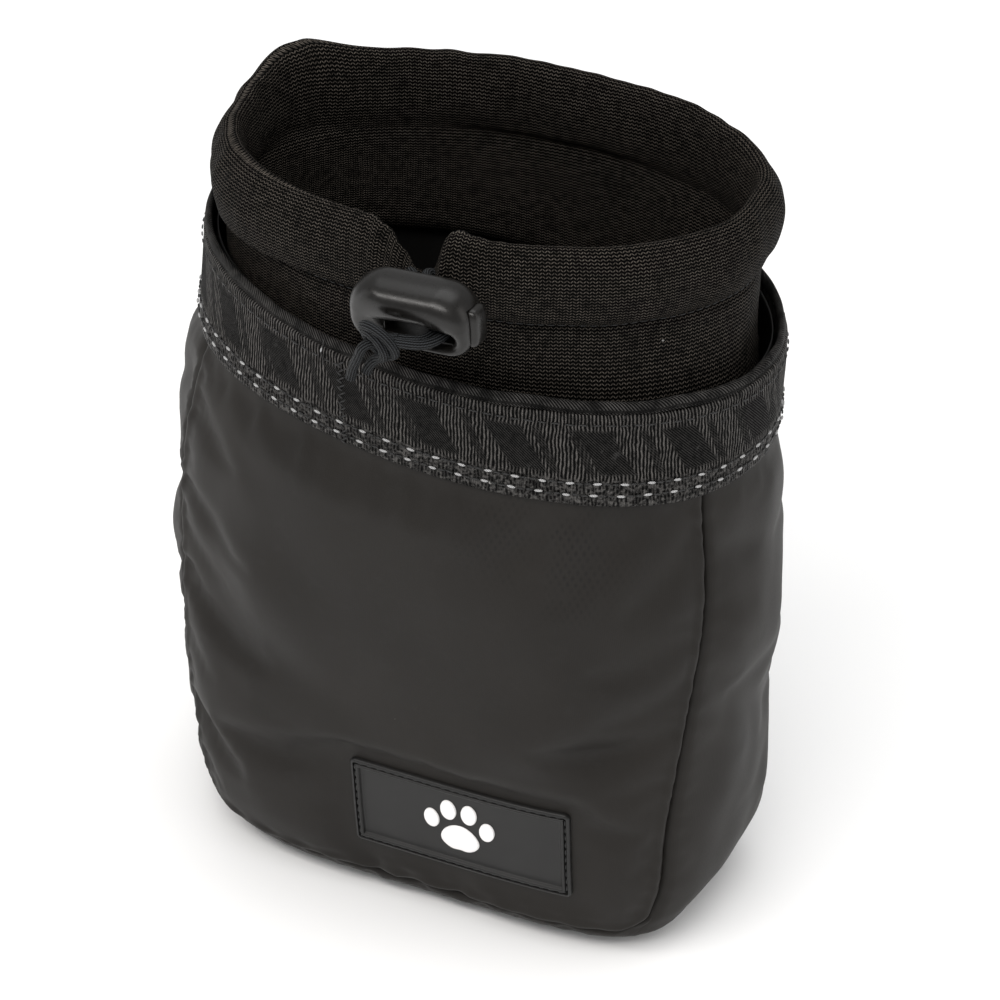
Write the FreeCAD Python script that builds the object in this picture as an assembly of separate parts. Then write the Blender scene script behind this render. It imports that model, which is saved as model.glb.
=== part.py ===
import FreeCAD, Part
import math
import os

# Drawstring treat pouch: a coated-fabric bag with a webbing rim, a knitted mouth sleeve with a drawcord
# channel, a bean-shaped cord lock, a rubber patch, and a belt loop with a steel clip on the back.
# Millimetres. +Z is up, -Y is the front of the bag, and the origin is on the face that the bag stands on.

Vector = FreeCAD.Vector

# ---- shell of the bag ----
# height, half width, half depth, squareness, centre x, centre y of the bag's outside
BAG = [
    (0.0, 60.0, 30.6, 4.2, -1.0, 0.0),
    (3.0, 66.0, 34.0, 4.4, -1.0, 0.0),
    (9.0, 70.0, 36.5, 4.5, -1.0, 0.0),
    (18.0, 72.5, 38.5, 4.3, -1.0, 0.0),
    (45.0, 74.5, 42.0, 3.7, -1.0, 0.0),
    (80.0, 76.0, 46.0, 3.1, -0.7, 0.0),
    (115.0, 76.5, 49.8, 2.6, 0.0, 0.2),
    (146.0, 73.8, 51.8, 2.2, 1.0, 0.5),
    (170.2, 73.8, 53.8, 2.0, 2.0, 1.0),
]
WALL = 1.2                  # coated fabric with its foam backing
LINING_GAP = 0.3
LINING = 0.8
SEAM_Y = 30.0               # the sewn seams lie in the planes y = -30 and y = +30
SEAM_GAP = 0.1              # half the space between two sewn panels
SIDE_LEAN = -math.tan(math.radians(6.3))    # the filled rim sags towards +X
FRONT_LEAN = math.tan(math.radians(1.7))
FULL_LEAN_HEIGHT = 150.0

# ---- rim ----
WEBBING_LOW, WEBBING_HIGH = 146.0, 171.0    # standard 25 mm webbing
WEBBING = 1.5
WEBBING_GAP = 0.2
LIP_LOW, LIP_HIGH = 171.3, 174.6
STITCH_PITCH = 6.4
STITCH_LENGTH = 2.3
THREAD = 0.5

# ---- knitted mouth ----
KNIT = 1.2
SLEEVE = [
    (150.0, 70.3, 48.7, 2.0, 1.7, 0.6),
    (165.0, 69.0, 48.0, 2.0, 2.0, 0.3),
    (183.0, 68.5, 47.5, 2.0, 2.0, 0.0),
]
SLEEVE_LEAN_FROM, SLEEVE_LEAN_TO = 155.0, 183.0
HEM_OUTSIDE = [
    (183.3, 69.6, 48.6, 2.1, 2.0, 0.0),
    (187.5, 71.3, 50.3, 2.1, 2.0, 0.0),
    (195.0, 72.3, 51.2, 2.1, 2.0, 0.0),
    (202.0, 71.2, 50.0, 2.1, 2.0, 0.0),
    (206.0, 68.4, 47.2, 2.1, 2.0, 0.0),
]
HEM_INSIDE = [
    (183.3, 66.4, 45.4, 2.1, 2.0, 0.0),
    (187.5, 64.9, 43.9, 2.1, 2.0, 0.0),
    (195.0, 64.3, 43.2, 2.1, 2.0, 0.0),
    (202.0, 65.0, 44.0, 2.1, 2.0, 0.0),
    (206.0, 67.0, 45.8, 2.1, 2.0, 0.0),
]
CHANNEL_OUTSIDE = [
    (187.0, 69.6, 48.5, 2.1, 2.0, 0.0),
    (195.0, 71.0, 49.9, 2.1, 2.0, 0.0),
    (202.5, 69.6, 48.4, 2.1, 2.0, 0.0),
]
CHANNEL_INSIDE = [
    (187.0, 66.2, 45.2, 2.1, 2.0, 0.0),
    (195.0, 65.5, 44.5, 2.1, 2.0, 0.0),
    (202.5, 66.2, 45.2, 2.1, 2.0, 0.0),
]
FRONT_STRETCH = (-44.0, 48.0)   # the part of the hem that draws back when the mouth is cinched
STRETCH_GAP = 0.3
CORD_TRIM = 1.5                 # the cords run this far past the stretch's ends before they are trimmed flush
NOTCH = (3.5, 12.5)             # opening of the drawcord channel at the front
HEM_STITCH_HEIGHT = 185.6

# ---- drawcord ----
CORD = 2.4
CHANNEL_CORD = (68.3, 47.2, 2.1, 2.0, 0.0)  # half width, half depth, squareness, centre of the cord's oval
CORD_HEIGHT = 195.0
CORD_STEPS = 26
STRAND_GAP = 1.0                # between the cord in the channel and its strands to the lock
KNOT = Vector(8.6, -74.4, 190.2)
KNOT_SIZE = (4.3, 3.6, 4.6)

# ---- cord lock ----
LOCK = Vector(13.4, -63.0, 194.6)
LOCK_TILT = 2.5
LOCK_LENGTH, LOCK_DEPTH, LOCK_HEIGHT = 31.5, 12.0, 16.5
LOCK_TOP_RADIUS, LOCK_BASE_RADIUS, LOCK_EDGE = 7.4, 3.0, 2.6
EYE_LENGTH, EYE_HEIGHT = 20.4, 6.0
EYE_X, EYE_Z = 2.0, -1.7
PLUNGER_LOW, PLUNGER_HIGH = -6.1, 3.6
PLUNGER_DEPTH = 6.6
PLUNGER_REACH = 17.2        # the button's face, from the lock's centre
PLUNGER_HEEL = -7.5
PLUNGER_EYE = (5.5, 14.2)
BORE_END = -12.6
BORE_CLEARANCE = 0.12
SPRING_COILS, SPRING_RADIUS, SPRING_WIRE, SPRING_PLAY = 4, 2.2, 0.6, 0.3

# ---- patch ----
PATCH_X, PATCH_Z = 14.5, 33.5
PATCH_WIDTH, PATCH_HEIGHT, PATCH_CORNER = 61.0, 27.5, 1.6
PATCH_BORDER, PATCH_GROOVE = 2.6, 1.3
PATCH_BASE, PATCH_RIDGE, EMBLEM_RISE = 1.4, 2.1, 0.6

# ---- belt side ----
STRAP_WIDTH, STRAP = 25.0, 1.6
STRAP_OFFSET, STRAP_SEWN = 8.0, 0.6
STRAP_PROFILE = [(141.0, 0), (131.0, 0), (123.0, 1), (77.0, 1), (69.0, 0), (59.0, 0)]
CLIP_HEIGHT = 100.0
CLIP_WIDTH, CLIP = 20.0, 1.2
CLIP_TOP, CLIP_FOOT, CLIP_TIP = 24.0, -26.0, -29.0
CLIP_CROOK, CLIP_FLARE = 1.6, 10.0      # the tongue leans in and turns out again above its tip
CLIP_BEND = 2.8
CLIP_GAP = 0.9
RIVET_SPACING, RIVET, RIVET_HEAD, RIVET_RISE = 28.0, 1.5, 3.2, 0.7

SECTION_POINTS = 44


def bag_lean(height):
    share = min(1.0, height / FULL_LEAN_HEIGHT)
    return share * share * (3 - 2 * share)


def sleeve_lean(height):
    share = (height - SLEEVE_LEAN_FROM) / (SLEEVE_LEAN_TO - SLEEVE_LEAN_FROM)
    share = min(1.0, max(0.0, share))
    return 1 - share * share * (3 - 2 * share)


def leaned(x, y, height, lean):
    return Vector(x, y, height + lean * (SIDE_LEAN * x + FRONT_LEAN * y))


def oval_point(turn, half_x, half_y, power, centre_x, centre_y):
    """Point of a squared oval at a turn in radians, as (x, y)."""
    across, along = math.cos(turn), math.sin(turn)
    reach = (abs(across) ** power + abs(along) ** power) ** (-1 / power)
    return centre_x + half_x * across * reach, centre_y + half_y * along * reach


def oval_wire(row, grow, lean):
    """Closed curve of one row of a table, moved outwards by grow."""
    height, half_x, half_y, power, centre_x, centre_y = row
    points = []
    for step in range(SECTION_POINTS):
        turn = 2 * math.pi * step / SECTION_POINTS
        x, y = oval_point(turn, half_x + grow, half_y + grow, power, centre_x, centre_y)
        points.append(leaned(x, y, height, lean(height)))
    curve = Part.BSplineCurve()
    curve.interpolate(Points=points, PeriodicFlag=True)
    return Part.Wire([curve.toShape()])


def loft(rows, grow, lean):
    return Part.makeLoft([oval_wire(row, grow, lean) for row in rows], True, False)


def bag_rows(floor):
    """The bag's rows, the lowest raised to a floor height, and one above the rim to cut through it."""
    lowest = BAG[0]
    top = BAG[-1]
    return [(floor,) + lowest[1:]] + BAG[1:-1] + [(top[0] + 1,) + top[1:]]


def between(rows, height):
    """A table's row at any height, by straight interpolation."""
    for low, high in zip(rows, rows[1:]):
        if height <= high[0]:
            share = (height - low[0]) / (high[0] - low[0])
            return tuple(a + share * (b - a) for a, b in zip(low, high))
    return rows[-1]


def slab(x0, x1, y0, y1, z0, z1):
    return Part.makeBox(x1 - x0, y1 - y0, z1 - z0, Vector(x0, y0, z0))


def whole(x0, x1, y0, y1):
    """A box over every height."""
    return slab(x0, x1, y0, y1, -10, 260)


def make_shell():
    outside = loft(BAG, 0, bag_lean)
    shell = outside.cut(loft(bag_rows(WALL), -WALL, bag_lean))
    edge = SEAM_Y + SEAM_GAP
    inner = SEAM_Y - SEAM_GAP
    return {
        "front_panel": shell.common(whole(-120, 120, -120, -edge)),
        "back_panel": shell.common(whole(-120, 120, edge, 120)),
        "gusset": shell.common(whole(-120, 120, -inner, inner)),
    }


def make_lining():
    grow = -WALL - LINING_GAP
    lowest = BAG[0]
    rows = [(-grow,) + lowest[1:]] + BAG[1:]
    return loft(rows, grow, bag_lean).cut(loft(bag_rows(LINING - grow), grow - LINING, bag_lean))


def rim_band(low, high, inside, outside):
    """A ring around the bag between two heights and between two offsets from its outside."""
    rows = [between(BAG, low), between(BAG, min(high, BAG[-1][0]))]
    rows = [(low,) + rows[0][1:], (high,) + rows[1][1:]]
    cutter = [(low - 1,) + rows[0][1:], (high + 1,) + rows[1][1:]]
    return loft(rows, outside, bag_lean).cut(loft(cutter, inside, bag_lean))


def make_lip():
    """A rolled edge of lining fabric that stands above the webbing."""
    top = BAG[-1][1:]
    profile = [(LIP_LOW, 0.8), (LIP_LOW + 1.2, 1.3), (LIP_HIGH - 0.9, 1.0), (LIP_HIGH, 0.0)]
    outside = Part.makeLoft([oval_wire((height,) + top, grow, bag_lean) for height, grow in profile], True)
    inside = loft([(LIP_LOW - 1,) + top, (LIP_HIGH + 1,) + top], -1.6, bag_lean)
    return outside.cut(inside)


def oval_walk(row, grow, count):
    """Evenly spaced places along a row's oval, as (x, y, heading in degrees)."""
    _, half_x, half_y, power, centre_x, centre_y = row
    fine = 1440
    points = [
        oval_point(2 * math.pi * i / fine, half_x + grow, half_y + grow, power, centre_x, centre_y)
        for i in range(fine + 1)
    ]
    lengths = [0.0]
    for a, b in zip(points, points[1:]):
        lengths.append(lengths[-1] + math.dist(a, b))
    places = []
    index = 0
    for step in range(count):
        target = lengths[-1] * step / count
        while lengths[index + 1] < target:
            index += 1
        a, b = points[index], points[index + 1]
        places.append((a[0], a[1], math.degrees(math.atan2(b[1] - a[1], b[0] - a[0]))))
    return places


def stitch(length, x, y, z, heading, slope=0.0):
    """One thread of a seam, lying along a heading."""
    thread = Part.makeBox(length, THREAD, THREAD, Vector(-length / 2, -THREAD / 2, -THREAD / 2))
    thread.rotate(Vector(0, 0, 0), Vector(0, 1, 0), -slope)
    thread.rotate(Vector(0, 0, 0), Vector(0, 0, 1), heading)
    thread.translate(Vector(x, y, z))
    return thread


def stitch_ring(rows, height, grow, lean, pitch, length, keep=lambda x, y: True):
    """A row of separate stitches around an oval, just clear of its surface."""
    row = between(rows, height)
    share = lean(height)
    count = round(math.pi * (row[1] + row[2]) / pitch)
    stitches = []
    for x, y, heading in oval_walk(row, grow, count):
        if keep(x, y):
            turn = math.radians(heading)
            rise = share * (SIDE_LEAN * math.cos(turn) + FRONT_LEAN * math.sin(turn))
            place = leaned(x, y, height, share)
            stitches.append(stitch(length, place.x, place.y, place.z, heading, math.degrees(math.atan(rise))))
    return stitches


def make_rim():
    proud = WEBBING_GAP + WEBBING + THREAD / 2 + 0.1
    low_rows = [
        stitch
        for height in (WEBBING_LOW + 3.2, WEBBING_LOW + 6.4)
        for stitch in stitch_ring(BAG, height, proud, bag_lean, STITCH_PITCH, STITCH_LENGTH)
    ]
    high_row = stitch_ring(BAG, WEBBING_HIGH - 2.6, proud, bag_lean, STITCH_PITCH, STITCH_LENGTH)
    return {
        "rim_webbing": rim_band(WEBBING_LOW, WEBBING_HIGH, WEBBING_GAP, WEBBING_GAP + WEBBING),
        "rim_lip": make_lip(),
        "rim_stitching_lower": Part.makeCompound(low_rows),
        "rim_stitching_upper": Part.makeCompound(high_row),
    }


def make_sleeve():
    low, high = SLEEVE[0], SLEEVE[-1]
    cutter = [(low[0] - 1,) + low[1:]] + SLEEVE[1:-1] + [(high[0] + 1,) + high[1:]]
    return loft(SLEEVE, 0, sleeve_lean).cut(loft(cutter, -KNIT, sleeve_lean))


def make_hem():
    """The rolled hem, hollow for the drawcord, as a rear part and the front part that draws back."""
    low, high = HEM_INSIDE[0], HEM_INSIDE[-1]
    bore = [(low[0] - 1,) + low[1:]] + HEM_INSIDE[1:-1] + [(high[0] + 1,) + high[1:]]
    ring = loft(HEM_OUTSIDE, 0, sleeve_lean).cut(loft(bore, 0, sleeve_lean))
    channel_bore = [(CHANNEL_INSIDE[0][0] - 1,) + CHANNEL_INSIDE[0][1:]] + CHANNEL_INSIDE[1:-1]
    channel_bore += [(CHANNEL_INSIDE[-1][0] + 1,) + CHANNEL_INSIDE[-1][1:]]
    channel = loft(CHANNEL_OUTSIDE, 0, sleeve_lean).cut(loft(channel_bore, 0, sleeve_lean))
    hem = ring.cut(channel)
    left, right = FRONT_STRETCH
    front_box = whole(left + STRETCH_GAP / 2, right - STRETCH_GAP / 2, -120, 0)
    rear_box = whole(left - STRETCH_GAP / 2, right + STRETCH_GAP / 2, -120, 0)
    front = hem.common(front_box).cut(whole(NOTCH[0], NOTCH[1], -120, 0))
    return {"mouth_hem_rear": hem.cut(rear_box), "mouth_hem_front": front}


def in_front_stretch(x, y):
    return y < 0 and FRONT_STRETCH[0] + 2 < x < FRONT_STRETCH[1] - 2


def make_hem_stitching():
    proud = THREAD / 2 + 0.5
    ring = (HEM_OUTSIDE, HEM_STITCH_HEIGHT, proud, sleeve_lean, 3.6, 2.2)

    def front(x, y):
        return in_front_stretch(x, y) and not NOTCH[0] - 2 < x < NOTCH[1] + 2

    def rear(x, y):
        return not (y < 0 and FRONT_STRETCH[0] - 2 < x < FRONT_STRETCH[1] + 2)

    return {
        "hem_stitching_front": Part.makeCompound(stitch_ring(*ring, keep=front)),
        "hem_stitching_rear": Part.makeCompound(stitch_ring(*ring, keep=rear)),
    }


def route_wire(points, radii=None):
    """Straight runs joined by tangent arcs; each arc is as large as its two runs allow."""
    edges = []
    start = points[0]
    for index in range(1, len(points) - 1):
        before, corner, after = points[index - 1:index + 2]
        arrive, leave = corner - before, after - corner
        turn = arrive.getAngle(leave)
        setback = 0.45 * min(arrive.Length, leave.Length)
        radius = setback / math.tan(turn / 2)
        if radii is not None:
            radii.append(radius)
        arrive.normalize()
        leave.normalize()
        first, last = corner - arrive * setback, corner + leave * setback
        inward = (leave - arrive).normalize()
        middle = corner + inward * (radius / math.cos(turn / 2) - radius)
        edges.append(Part.LineSegment(start, first).toShape())
        edges.append(Part.Arc(first, middle, last).toShape())
        start = last
    edges.append(Part.LineSegment(start, points[-1]).toShape())
    return Part.Wire(edges)


def tube(points, diameter, name):
    """A round cord along a route; prints its tightest bend and compares its volume with its length."""
    radii = []
    wire = route_wire(points, radii)
    direction = points[1] - points[0]
    section = Part.Wire([Part.Circle(points[0], direction, diameter / 2).toShape()])
    solid = wire.makePipeShell([section], True, True)
    expected = math.pi * diameter ** 2 / 4 * wire.Length
    print(name, "length", round(wire.Length, 1), "tightest bend", round(min(radii), 2),
          "volume ratio", round(solid.Volume / expected, 3))
    return solid


def ellipsoid(centre, half_x, half_y, half_z):
    stretch = FreeCAD.Matrix()
    stretch.scale(half_x, half_y, half_z)
    shape = Part.makeSphere(1.0).transformGeometry(stretch)
    shape.translate(centre)
    return shape


def channel_point(turn):
    return Vector(*oval_point(turn, *CHANNEL_CORD), CORD_HEIGHT)


def channel_turn(x):
    """Turn in radians of the front place of the cord's oval that has a given x."""
    low, high = math.pi, 2 * math.pi
    for _ in range(50):
        middle = (low + high) / 2
        if oval_point(middle, *CHANNEL_CORD)[0] < x:
            low = middle
        else:
            high = middle
    return low


def channel_route(start, end):
    """Points along the channel's cord between two turns."""
    steps = max(3, round(CORD_STEPS * (end - start) / (2 * math.pi)))
    return [channel_point(start + (end - start) * i / steps) for i in range(steps + 1)]


def make_drawcord():
    left, right = FRONT_STRETCH
    gap = STRETCH_GAP / 2
    rear = channel_route(channel_turn(right - CORD_TRIM), channel_turn(left + CORD_TRIM) + 2 * math.pi)
    front_left = channel_route(channel_turn(left - CORD_TRIM), channel_turn(NOTCH[0]))
    front_right = channel_route(channel_turn(NOTCH[1]), channel_turn(right + CORD_TRIM))
    rear_room = whole(left - gap, right + gap, -120, 0)
    front_room = whole(left + gap, right - gap, -120, 0)
    left_end, right_end = front_left[-1], front_right[0]
    eye = LOCK + Vector(0, 0, EYE_Z)
    front = LOCK.y - LOCK_DEPTH / 2
    back = LOCK.y + LOCK_DEPTH / 2
    under = [
        left_end + Vector(STRAND_GAP, 0, 0),
        Vector(6.6, -49.3, 194.0),
        Vector(12.4, -53.2, 191.6),
        Vector(20.6, back - 0.4, eye.z + 0.3),
        Vector(20.6, front + 1.0, eye.z + 0.3),
        Vector(17.6, front - 2.6, eye.z - 0.6),
        Vector(13.0, -73.6, 191.2),
    ]
    over = [
        right_end - Vector(STRAND_GAP, 0, 0),
        Vector(9.9, -49.5, 196.4),
        Vector(11.6, -53.6, 197.4),
        Vector(17.8, -55.6, 196.0),
        Vector(23.2, back + 0.2, eye.z + 1.2),
        Vector(23.3, front + 0.4, eye.z + 0.3),
        Vector(20.2, front - 5.4, eye.z + 0.2),
        Vector(13.2, -76.4, 191.8),
    ]
    knot = ellipsoid(KNOT, *KNOT_SIZE)
    knot_room = ellipsoid(KNOT, *[size + 0.3 for size in KNOT_SIZE])
    tails = [
        [
            Vector(5.4, -74.6, 187.2),
            Vector(2.8, -74.8, 184.2),
            Vector(0.9, -74.6, 181.0),
            Vector(0.2, -74.2, 177.6),
        ],
        [
            Vector(8.8, -73.9, 185.9),
            Vector(8.0, -73.7, 183.6),
            Vector(6.2, -73.3, 181.6),
            Vector(4.2, -73.0, 180.2),
        ],
    ]
    return {
        "drawcord_rear": tube(rear, CORD, "drawcord_rear").cut(rear_room),
        "drawcord_front": Part.makeCompound([
            tube(front_left, CORD, "front left").common(front_room),
            tube(front_right, CORD, "front right").common(front_room),
        ]),
        "drawcord_strands": Part.makeCompound(
            [tube(under, CORD, "strand under").cut(knot_room), tube(over, CORD, "strand over").cut(knot_room)]
        ),
        "drawcord_knot": knot,
        "drawcord_tails": Part.makeCompound([tube(points, CORD, "tail").cut(knot) for points in tails]),
    }


def in_lock(shape):
    """Puts a shape made about the lock's centre in its place."""
    shape = shape.copy()
    shape.rotate(Vector(0, 0, 0), Vector(0, 1, 0), -LOCK_TILT)
    shape.translate(LOCK)
    return shape


def lock_outline(half_length, half_height, top, base):
    """Closed outline in the XZ plane with large upper corners and small lower ones."""
    corners = [
        (half_length, -half_height, base), (half_length, half_height, top),
        (-half_length, half_height, top), (-half_length, -half_height, base),
    ]
    directions = [(1, -1), (1, 1), (-1, 1), (-1, -1)]
    arcs = []
    for (x, z, radius), (sign_x, sign_z) in zip(corners, directions):
        centre = Vector(x - sign_x * radius, 0, z - sign_z * radius)
        across, along = Vector(sign_x * radius, 0, 0), Vector(0, 0, sign_z * radius)
        slant = (across + along) * math.sqrt(0.5)
        ends = (centre + along, centre + across)
        if sign_x == sign_z:
            ends = (centre + across, centre + along)
        arcs.append((ends[0], centre + slant, ends[1]))
    edges = []
    for index, (start, middle, end) in enumerate(arcs):
        edges.append(Part.Arc(start, middle, end).toShape())
        edges.append(Part.LineSegment(end, arcs[(index + 1) % len(arcs)][0]).toShape())
    return Part.Wire(edges)


def eye_cutter(low, high, depth):
    """A slot with round ends along Y, between two x places."""
    radius = EYE_HEIGHT / 2
    box = slab(low + radius, high - radius, -depth, depth, EYE_Z - radius, EYE_Z + radius)
    ends = [
        Part.makeCylinder(radius, 2 * depth, Vector(x, -depth, EYE_Z), Vector(0, 1, 0))
        for x in (low + radius, high - radius)
    ]
    return box.fuse(ends)


def make_cord_lock():
    outline = lock_outline(LOCK_LENGTH / 2, LOCK_HEIGHT / 2, LOCK_TOP_RADIUS, LOCK_BASE_RADIUS)
    body = Part.Face(outline).extrude(Vector(0, LOCK_DEPTH, 0))
    body.translate(Vector(0, -LOCK_DEPTH / 2, 0))
    rims = [e for e in body.Edges if abs(abs(e.CenterOfMass.y) - LOCK_DEPTH / 2) < 0.01]
    body = body.makeFillet(LOCK_EDGE, rims)
    body = body.cut(eye_cutter(EYE_X - EYE_LENGTH / 2, EYE_X + EYE_LENGTH / 2, LOCK_DEPTH))
    half = PLUNGER_DEPTH / 2 + BORE_CLEARANCE
    bore_low = PLUNGER_LOW - BORE_CLEARANCE
    bore_high = PLUNGER_HIGH + BORE_CLEARANCE
    bore = slab(BORE_END, LOCK_LENGTH, -half, half, bore_low, bore_high)
    body = body.cut(bore)
    thick = PLUNGER_DEPTH / 2
    plunger = slab(PLUNGER_HEEL, PLUNGER_REACH, -thick, thick, PLUNGER_LOW, PLUNGER_HIGH)
    button = [e for e in plunger.Edges if abs(e.CenterOfMass.x - PLUNGER_REACH) < 0.01]
    plunger = plunger.makeFillet(0.9, button).cut(eye_cutter(*PLUNGER_EYE, LOCK_DEPTH))
    free = PLUNGER_HEEL - BORE_END - SPRING_WIRE - SPRING_PLAY
    helix = Part.makeHelix(free / SPRING_COILS, free, SPRING_RADIUS)
    ring = Part.Circle(Vector(SPRING_RADIUS, 0, 0), Vector(0, 1, 0), SPRING_WIRE / 2)
    ring = Part.Wire([ring.toShape()])
    spring = Part.Wire(helix).makePipeShell([ring], True, True)
    spring.rotate(Vector(0, 0, 0), Vector(0, 1, 0), 90)
    spring_end = BORE_END + (SPRING_WIRE + SPRING_PLAY) / 2
    spring.translate(Vector(spring_end, 0, (PLUNGER_LOW + PLUNGER_HIGH) / 2))
    return {
        "cord_lock_body": in_lock(body),
        "cord_lock_plunger": in_lock(plunger),
        "cord_lock_spring": in_lock(spring),
    }


def patch_prism(inset, radius):
    """A rounded rectangle through the front of the bag, inset from the patch's edge."""
    half_x, half_z = PATCH_WIDTH / 2 - inset, PATCH_HEIGHT / 2 - inset
    prism = slab(PATCH_X - half_x, PATCH_X + half_x, -80, -25, PATCH_Z - half_z, PATCH_Z + half_z)
    corners = [e for e in prism.Edges if abs(e.tangentAt(e.FirstParameter).y) > 0.99]
    return prism.makeFillet(radius, corners)


def skin(low, high):
    """The space between two offsets from the lower part of the bag's outside."""
    rows = BAG[1:7]
    return loft(rows, high, bag_lean).cut(loft(rows, low, bag_lean))


def paw_prints():
    """Four toes and a pad, as (x, z, half width, half height) about the patch's centre."""
    toes = [(-7.8, 1.1, 2.1, 2.9), (-2.9, 5.2, 2.2, 3.1), (2.9, 5.2, 2.2, 3.1), (7.8, 1.1, 2.1, 2.9)]
    return toes + [(0.0, -3.6, 5.4, 4.2)]


def make_patch():
    base = skin(0.15, PATCH_BASE).common(patch_prism(0, PATCH_CORNER))
    frame = patch_prism(0, PATCH_CORNER).cut(patch_prism(PATCH_BORDER, 0.6))
    frame = frame.cut(patch_prism(PATCH_GROOVE - 0.35, 0.9).cut(patch_prism(PATCH_GROOVE + 0.35, 0.8)))
    patch = base.fuse(skin(PATCH_BASE - 0.3, PATCH_RIDGE).common(frame)).removeSplitter()
    face = skin(PATCH_BASE + 0.1, PATCH_BASE + 0.1 + EMBLEM_RISE)
    emblem = []
    for x, z, half_x, half_z in paw_prints():
        ellipse = Part.Ellipse(Vector(0, 0, 0), max(half_x, half_z), min(half_x, half_z)).toShape()
        column = Part.Face(Part.Wire([ellipse])).extrude(Vector(0, 0, 60))
        if half_z > half_x:
            column.rotate(Vector(0, 0, 0), Vector(0, 0, 1), 90)
        column.rotate(Vector(0, 0, 0), Vector(1, 0, 0), 90)
        column.translate(Vector(PATCH_X + x, -20, PATCH_Z + z))
        emblem.append(face.common(column))
    thread_layer = skin(PATCH_BASE + 0.1, PATCH_BASE + 0.45)
    half_x, half_z = PATCH_WIDTH / 2 - PATCH_GROOVE, PATCH_HEIGHT / 2 - PATCH_GROOVE
    dashes = []
    for count, half_run, side, upright in ((18, half_x, half_z, False), (7, half_z, half_x, True)):
        for index in range(count):
            place = (index + 0.5) / count * 2 * half_run - half_run
            for edge in (-side, side):
                x, z = (edge, place) if upright else (place, edge)
                long_x, long_z = (0.2, 1.0) if upright else (1.0, 0.2)
                box = slab(PATCH_X + x - long_x, PATCH_X + x + long_x, -80, -25,
                           PATCH_Z + z - long_z, PATCH_Z + z + long_z)
                dashes.append(thread_layer.common(box))
    return {
        "rubber_patch": patch,
        "patch_emblem": Part.makeCompound(emblem),
        "patch_stitching": Part.makeCompound(dashes),
    }


def back_y(height):
    """Middle of the bag's back at a height."""
    row = between(BAG, height)
    return row[2] + row[5]


def strap_y(height, share):
    return back_y(height) + STRAP_SEWN + share * (STRAP_OFFSET - STRAP_SEWN)


def clip_frame():
    """Point on the strap's outer face at the clip's height, and the strap's slope there in degrees."""
    low, high = STRAP_PROFILE[3][0], STRAP_PROFILE[2][0]
    slope = math.atan2(strap_y(high, 1) - strap_y(low, 1), high - low)
    y = strap_y(low, 1) + (CLIP_HEIGHT - low) * math.tan(slope) + STRAP
    return Vector(0, y, CLIP_HEIGHT), math.degrees(slope)


def on_strap(shape):
    """Puts a shape made about the strap's outer face, with +Y outwards, in its place."""
    point, slope = clip_frame()
    shape = shape.copy()
    shape.rotate(Vector(0, 0, 0), Vector(1, 0, 0), -slope)
    shape.translate(point)
    return shape


def profile_solid(points, width):
    """A closed outline of (y, z) points, extruded evenly about the middle plane."""
    corners = [Vector(-width / 2, y, z) for y, z in points]
    return Part.Face(Part.makePolygon(corners + corners[:1])).extrude(Vector(width, 0, 0))


def make_belt_loop():
    inner = [(strap_y(height, share), height) for height, share in STRAP_PROFILE]
    outer = [(y + STRAP, height) for y, height in reversed(inner)]
    strap = profile_solid(inner + outer, STRAP_WIDTH)
    holes = [
        on_strap(Part.makeCylinder(RIVET + 0.05, 12, Vector(0, -6, z), Vector(0, 1, 0)))
        for z in (-RIVET_SPACING / 2, RIVET_SPACING / 2)
    ]
    stitches = []
    for top, foot in (STRAP_PROFILE[:2], STRAP_PROFILE[-2:]):
        high, low = top[0] - 1.6, foot[0] + 1.6
        slope = (back_y(high) - back_y(low)) / (high - low)
        for index in range(7):
            x = (index + 0.5) / 7 * (STRAP_WIDTH - 4) - (STRAP_WIDTH - 4) / 2
            for height in (low, (low + high) / 2, high):
                y = strap_y(low, 0) + slope * (height - low) + STRAP + THREAD / 2 + 0.15
                stitches.append(stitch(STITCH_LENGTH, x, y, height, 0))
    return {
        "belt_loop": strap.cut(holes[0]).cut(holes[1]),
        "belt_loop_stitching": Part.makeCompound(stitches),
    }


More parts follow.
